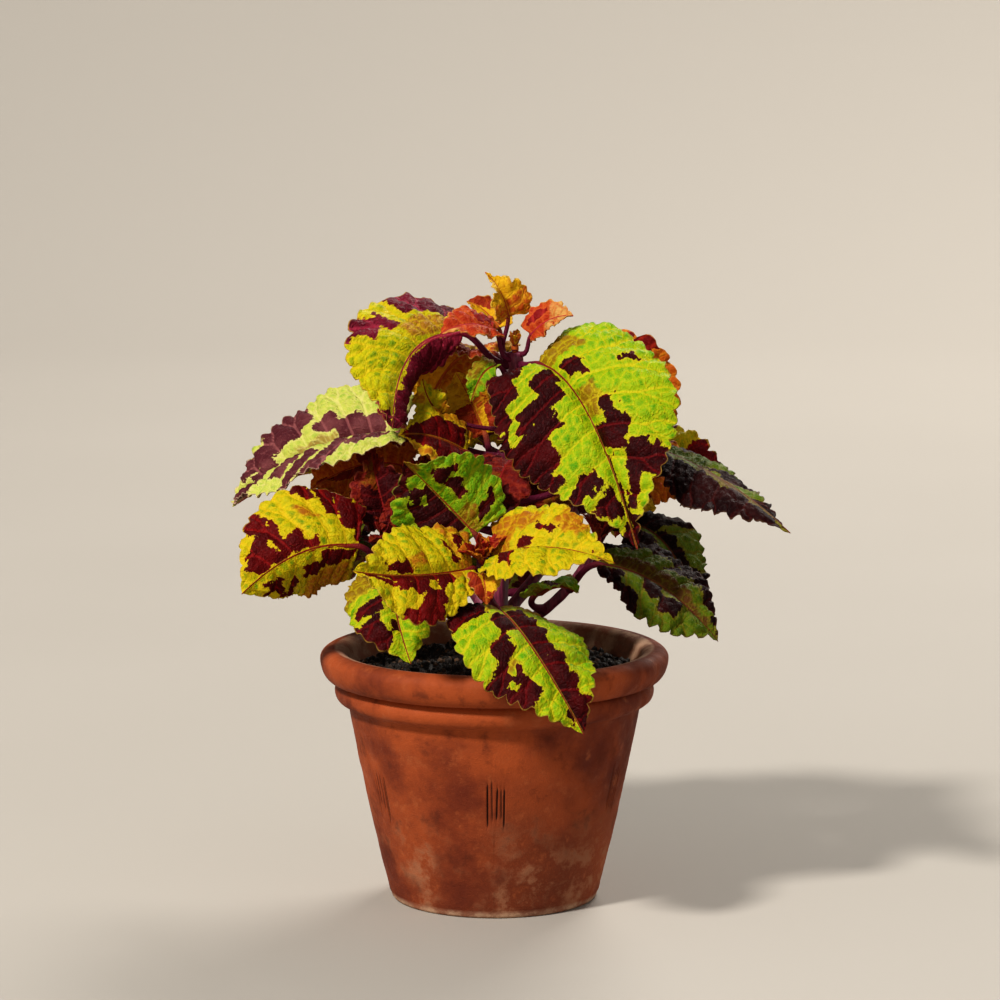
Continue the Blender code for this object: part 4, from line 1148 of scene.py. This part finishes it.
def leaf_surface(name, colours):
    """Leaf tissue: green cells in a yellow net, dark ragged patches, a pale rim and a red midrib."""
    look = dict(zip(TISSUE, colours))
    leaf = Surface("leaf_" + name)
    flat = leaf.fact("flat", "Vector")
    vein, value, rib = (leaf.fact(fact) for fact in ("vein", "value", "rib"))
    net = leaf.calc("MINIMUM", vein, leaf.fact("cell"))
    fine = leaf.noise(flat, 0.9, 4.0, 0.65)
    broad = leaf.noise(flat, 0.07, 2.0)
    lace = leaf.node("TexVoronoi", {"Vector": flat, "Scale": 0.8}, "Distance", feature="DISTANCE_TO_EDGE")
    loose = leaf.calc("ADD", net, leaf.calc("MULTIPLY_ADD", fine, 1.6, -0.8))
    jag = leaf.calc("MULTIPLY_ADD", fine, 2.8, -1.4)
    jag = leaf.calc("ADD", jag, leaf.calc("MULTIPLY_ADD", value, 2.2, -1.1))

    spread = leaf.calc("MULTIPLY", leaf.span(value, 0.1, 0.7, 0.35), leaf.span(broad, 0.36, 0.56, 0.45))
    green = leaf.calc("MULTIPLY", leaf.span(loose, 0.3, 1.5), spread)
    leaf.colour = leaf.blend(green, look["lime"], look["cell"])
    leaf.coat(look["net"], loose, 0.45, 0.0, 0.6)
    leaf.coat(look["net"], vein, 0.75, 0.2, 0.75)
    leaf.coat(look["net"], lace, 0.10, 0.02, 0.25)

    blush = leaf.over(look["blush"], look["net"], net, 0.7, 0.1, 0.6)
    blush = leaf.over(blush, look["patch_vein"], fine, 0.35, 0.7, 0.35)
    leaf.coat(blush, leaf.calc("ADD", leaf.fact("blush"), jag), -1.2, 0.8, 0.85)
    dark = leaf.over(look["patch"], look["patch_vein"], broad, 0.45, 0.65, 0.35)
    dark = leaf.over(dark, look["patch_vein"], loose, 0.4, 0.0, 0.3)
    dark = leaf.over(dark, look["patch_vein"], vein, 0.8, 0.2, 0.8)
    edge = leaf.calc("ADD", leaf.fact("patch"), jag)
    leaf.coat(look["net"], edge, -1.3, -0.1, 0.75)
    leaf.coat(dark, edge, -0.15, 0.2)

    leaf.coat(look["net"], rib, 2.2, 1.2, 0.4)
    leaf.coat(look["rib"], rib, 1.2, 0.8)
    leaf.coat(look["rim"], leaf.fact("rim"), 0.4, 0.1, 0.6)
    stalk = leaf.over((0.14, 0.012, 0.04), look["rib"], leaf.fact("row"), 0.7, 1.25)
    leaf.colour = leaf.blend(leaf.fact("stalk"), leaf.colour, stalk)
    pale = leaf.blend(0.4, leaf.colour, look.get("back", BACK))
    leaf.colour = leaf.blend(leaf.calc("MULTIPLY", leaf.fact("under"), 0.8), leaf.colour, pale)

    grain = leaf.calc("ADD", leaf.calc("MULTIPLY", fine, 0.5), leaf.span(net, 0.0, 0.8, 0.0, 0.7))
    grain = leaf.calc("ADD", grain, leaf.span(lace, 0.0, 0.25, 0.0, 0.35))
    leaf.finish(leaf.span(fine, 0.2, 0.8, 0.45, 0.65), grain, 0.8, 0.0006, 0.14)
    glow = leaf.blend(1.0, leaf.colour, (1.0, 0.92, 0.6), "MULTIPLY")
    through = leaf.node("BsdfTranslucent", {"Color": glow}, 0)
    mixed = leaf.node("MixShader", {0: 0.25, 1: leaf.shader.outputs[0], 2: through}, 0)
    leaf.feed(leaf.tree.nodes["Material Output"], {"Surface": mixed})
    return leaf.material


def stem_surface():
    stem = Surface("stem", (0.1, 0.008, 0.03))
    upright = stem.node("Mapping", {"Vector": stem.place(), "Scale": (1.0, 1.0, 0.2)}, 0)
    streaks = stem.noise(upright, 900.0, 4.0)
    stem.coat((0.24, 0.03, 0.07), streaks, 0.35, 0.7)
    stem.coat((0.12, 0.07, 0.04), stem.height(), 0.125, 0.1, 0.6)
    return stem.finish(stem.span(streaks, 0.2, 0.8, 0.35, 0.6), streaks, 0.5, 0.0003)


def soil_surface():
    soil = Surface("soil", (0.003, 0.002, 0.0015))
    grit = soil.noise(soil.place(), 1400.0, 6.0, 0.7)
    soil.coat((0.034, 0.018, 0.010), grit, 0.35, 0.75)
    light = soil.calc("MULTIPLY", soil.fact("stalk"), soil.span(soil.fact("value"), 0.74, 0.96))
    soil.colour = soil.blend(light, soil.colour, (0.15, 0.08, 0.04))
    fleck = soil.node("TexVoronoi", {"Vector": soil.place(), "Scale": 420.0}, "Distance")
    relief = soil.calc("ADD", grit, soil.calc("MULTIPLY", fleck, 0.6))
    return soil.finish(0.55, relief, 0.9, 0.0009, 0.4)


def terracotta_surface():
    """Fired clay: orange-red body, darker and paler weathering, sandy specks, a chalky bloom low down, and
    painted shade darkening the scored grooves.
    """
    clay = Surface("terracotta", (0.13, 0.022, 0.008))
    place, height = clay.place(), clay.height()
    cloud = clay.noise(place, 20.0, 5.0, 0.6)
    drift = clay.noise(place, 9.0, 3.0, 0.5)
    mottle = clay.noise(place, 95.0, 6.0, 0.65)
    sand = clay.noise(place, 1500.0, 3.0, 0.7)
    clay.coat((0.34, 0.072, 0.018), cloud, 0.34, 0.62)
    clay.coat((0.10, 0.022, 0.010), drift, 0.46, 0.66, 0.7)
    clay.coat((0.09, 0.020, 0.009), mottle, 0.52, 0.72, 0.65)
    clay.coat((0.38, 0.105, 0.034), mottle, 0.44, 0.28, 0.55)
    low = clay.calc("MULTIPLY", clay.span(height, 0.055, 0.012), clay.span(cloud, 0.42, 0.6))
    drifts = clay.calc("MULTIPLY", clay.span(height, 0.03, 0.07), clay.span(drift, 0.6, 0.68, 0.0, 0.6))
    chalk = clay.calc("MULTIPLY", clay.calc("MAXIMUM", low, drifts), clay.span(mottle, 0.44, 0.62))
    clay.colour = clay.blend(clay.calc("MULTIPLY", chalk, 0.4), clay.colour, (0.52, 0.27, 0.15))
    inside = clay.calc("MULTIPLY", clay.fact("under"), clay.span(mottle, 0.4, 0.6, 0.25, 0.8))
    clay.colour = clay.blend(inside, clay.colour, (0.50, 0.33, 0.22))
    clay.coat((0.42, 0.15, 0.06), sand, 0.62, 0.75, 0.4)
    clay.coat((0.09, 0.028, 0.015), sand, 0.38, 0.28, 0.5)
    # Painted shade: the scored grooves darkened nearly to black
    clay.coat((0.022, 0.006, 0.003), clay.fact("patch"), 0.12, 0.45, 0.9)
    relief = clay.calc("ADD", clay.calc("MULTIPLY", sand, 0.35), mottle)
    return clay.finish(clay.span(mottle, 0.3, 0.7, 0.6, 0.85), relief, 0.7, 0.0008, 0.22)


def make_stage():
    """A plain, pale floor that rises all round into a wall, so that no edge shows from any side, painted
    paler further out to make up for the lamps' light falling off there.
    """
    turns = 2 * np.pi * np.arange(STAGE_SIDES) / STAGE_SIDES
    curve = arc((STAGE_FLOOR, STAGE_CURVE), (STAGE_CURVE, STAGE_CURVE), -90, 0, 25)
    profile = [(STAGE_FLOOR, 0.0), *curve[1:], (STAGE_FLOOR + STAGE_CURVE, STAGE_TOP)]
    points = [(0.0, 0.0, 0.0)]
    points += [(r * np.cos(turn), r * np.sin(turn), z) for r, z in profile for turn in turns]
    faces = [(0, 1 + side, 1 + (side + 1) % STAGE_SIDES) for side in range(STAGE_SIDES)]
    faces += (ring_faces(len(profile), STAGE_SIDES)[:, INWARD] + 1).tolist()
    mesh = bpy.data.meshes.new("floor")
    mesh.from_pydata(points, [], faces)
    mesh.shade_smooth()
    floor = Surface("floor", (0.36, 0.335, 0.30))
    floor.coat((0.38, 0.355, 0.32), floor.noise(floor.place(), 1.2, 2.0), 0.3, 0.7)
    # Painted light: the floor and wall grow paler further from the middle, where less of the lamps' light
    # reaches
    away = floor.node("VectorMath", {0: floor.place()}, "Value", operation="LENGTH")
    floor.coat((0.40, 0.375, 0.34), away, 0.5, 3.0)
    floor.feed(floor.shader, {"Base Color": floor.colour, "Roughness": 0.8})
    add_object("floor", mesh, floor.material)


def aim(thing, target):
    way = np.array(target) - np.array(thing.location)
    flat = math.hypot(way[0], way[1])
    thing.rotation_euler = (math.atan2(flat, -way[2]), 0.0, math.atan2(-way[0], way[1]))


def add_light(name, place, size, power, colour):
    lamp = bpy.data.lights.new(name, "AREA")
    lamp.shape = "DISK"
    lamp.size = size
    lamp.energy = power
    lamp.color = colour
    light = bpy.data.objects.new(name, lamp)
    bpy.context.scene.collection.objects.link(light)
    light.location = place
    aim(light, PLANT_MIDDLE)


def make_lights():
    for light in LIGHTS:
        add_light(*light)
    world = bpy.data.worlds.new("studio")
    world.use_nodes = True
    world.node_tree.nodes["Background"].inputs["Color"].default_value = (0.9, 0.9, 0.92, 1.0)
    world.node_tree.nodes["Background"].inputs["Strength"].default_value = 0.26
    bpy.context.scene.world = world


def make_camera():
    camera = bpy.data.objects.new("camera", bpy.data.cameras.new("camera"))
    camera.data.lens = CAMERA_LENS
    camera.data.sensor_width = 36.0
    camera.location = CAMERA_PLACE
    camera.rotation_euler = (math.radians(90 - CAMERA_PITCH), 0, 0)
    bpy.context.scene.collection.objects.link(camera)
    bpy.context.scene.camera = camera


def main():
    surfaces = {name: leaf_surface(name, colours) for name, colours in LOOKS.items()}
    make_pot(terracotta_surface())
    make_soil(soil_surface())
    make_stem(stem_surface())
    make_leaves(surfaces)
    for number, shoot in enumerate(SHOOTS):
        make_shoot(number, *shoot, surfaces)
    make_stage()
    make_lights()
    make_camera()
    bpy.context.scene.view_settings.view_transform = "Standard"
    bpy.context.scene.view_settings.look = "Medium High Contrast"


main()
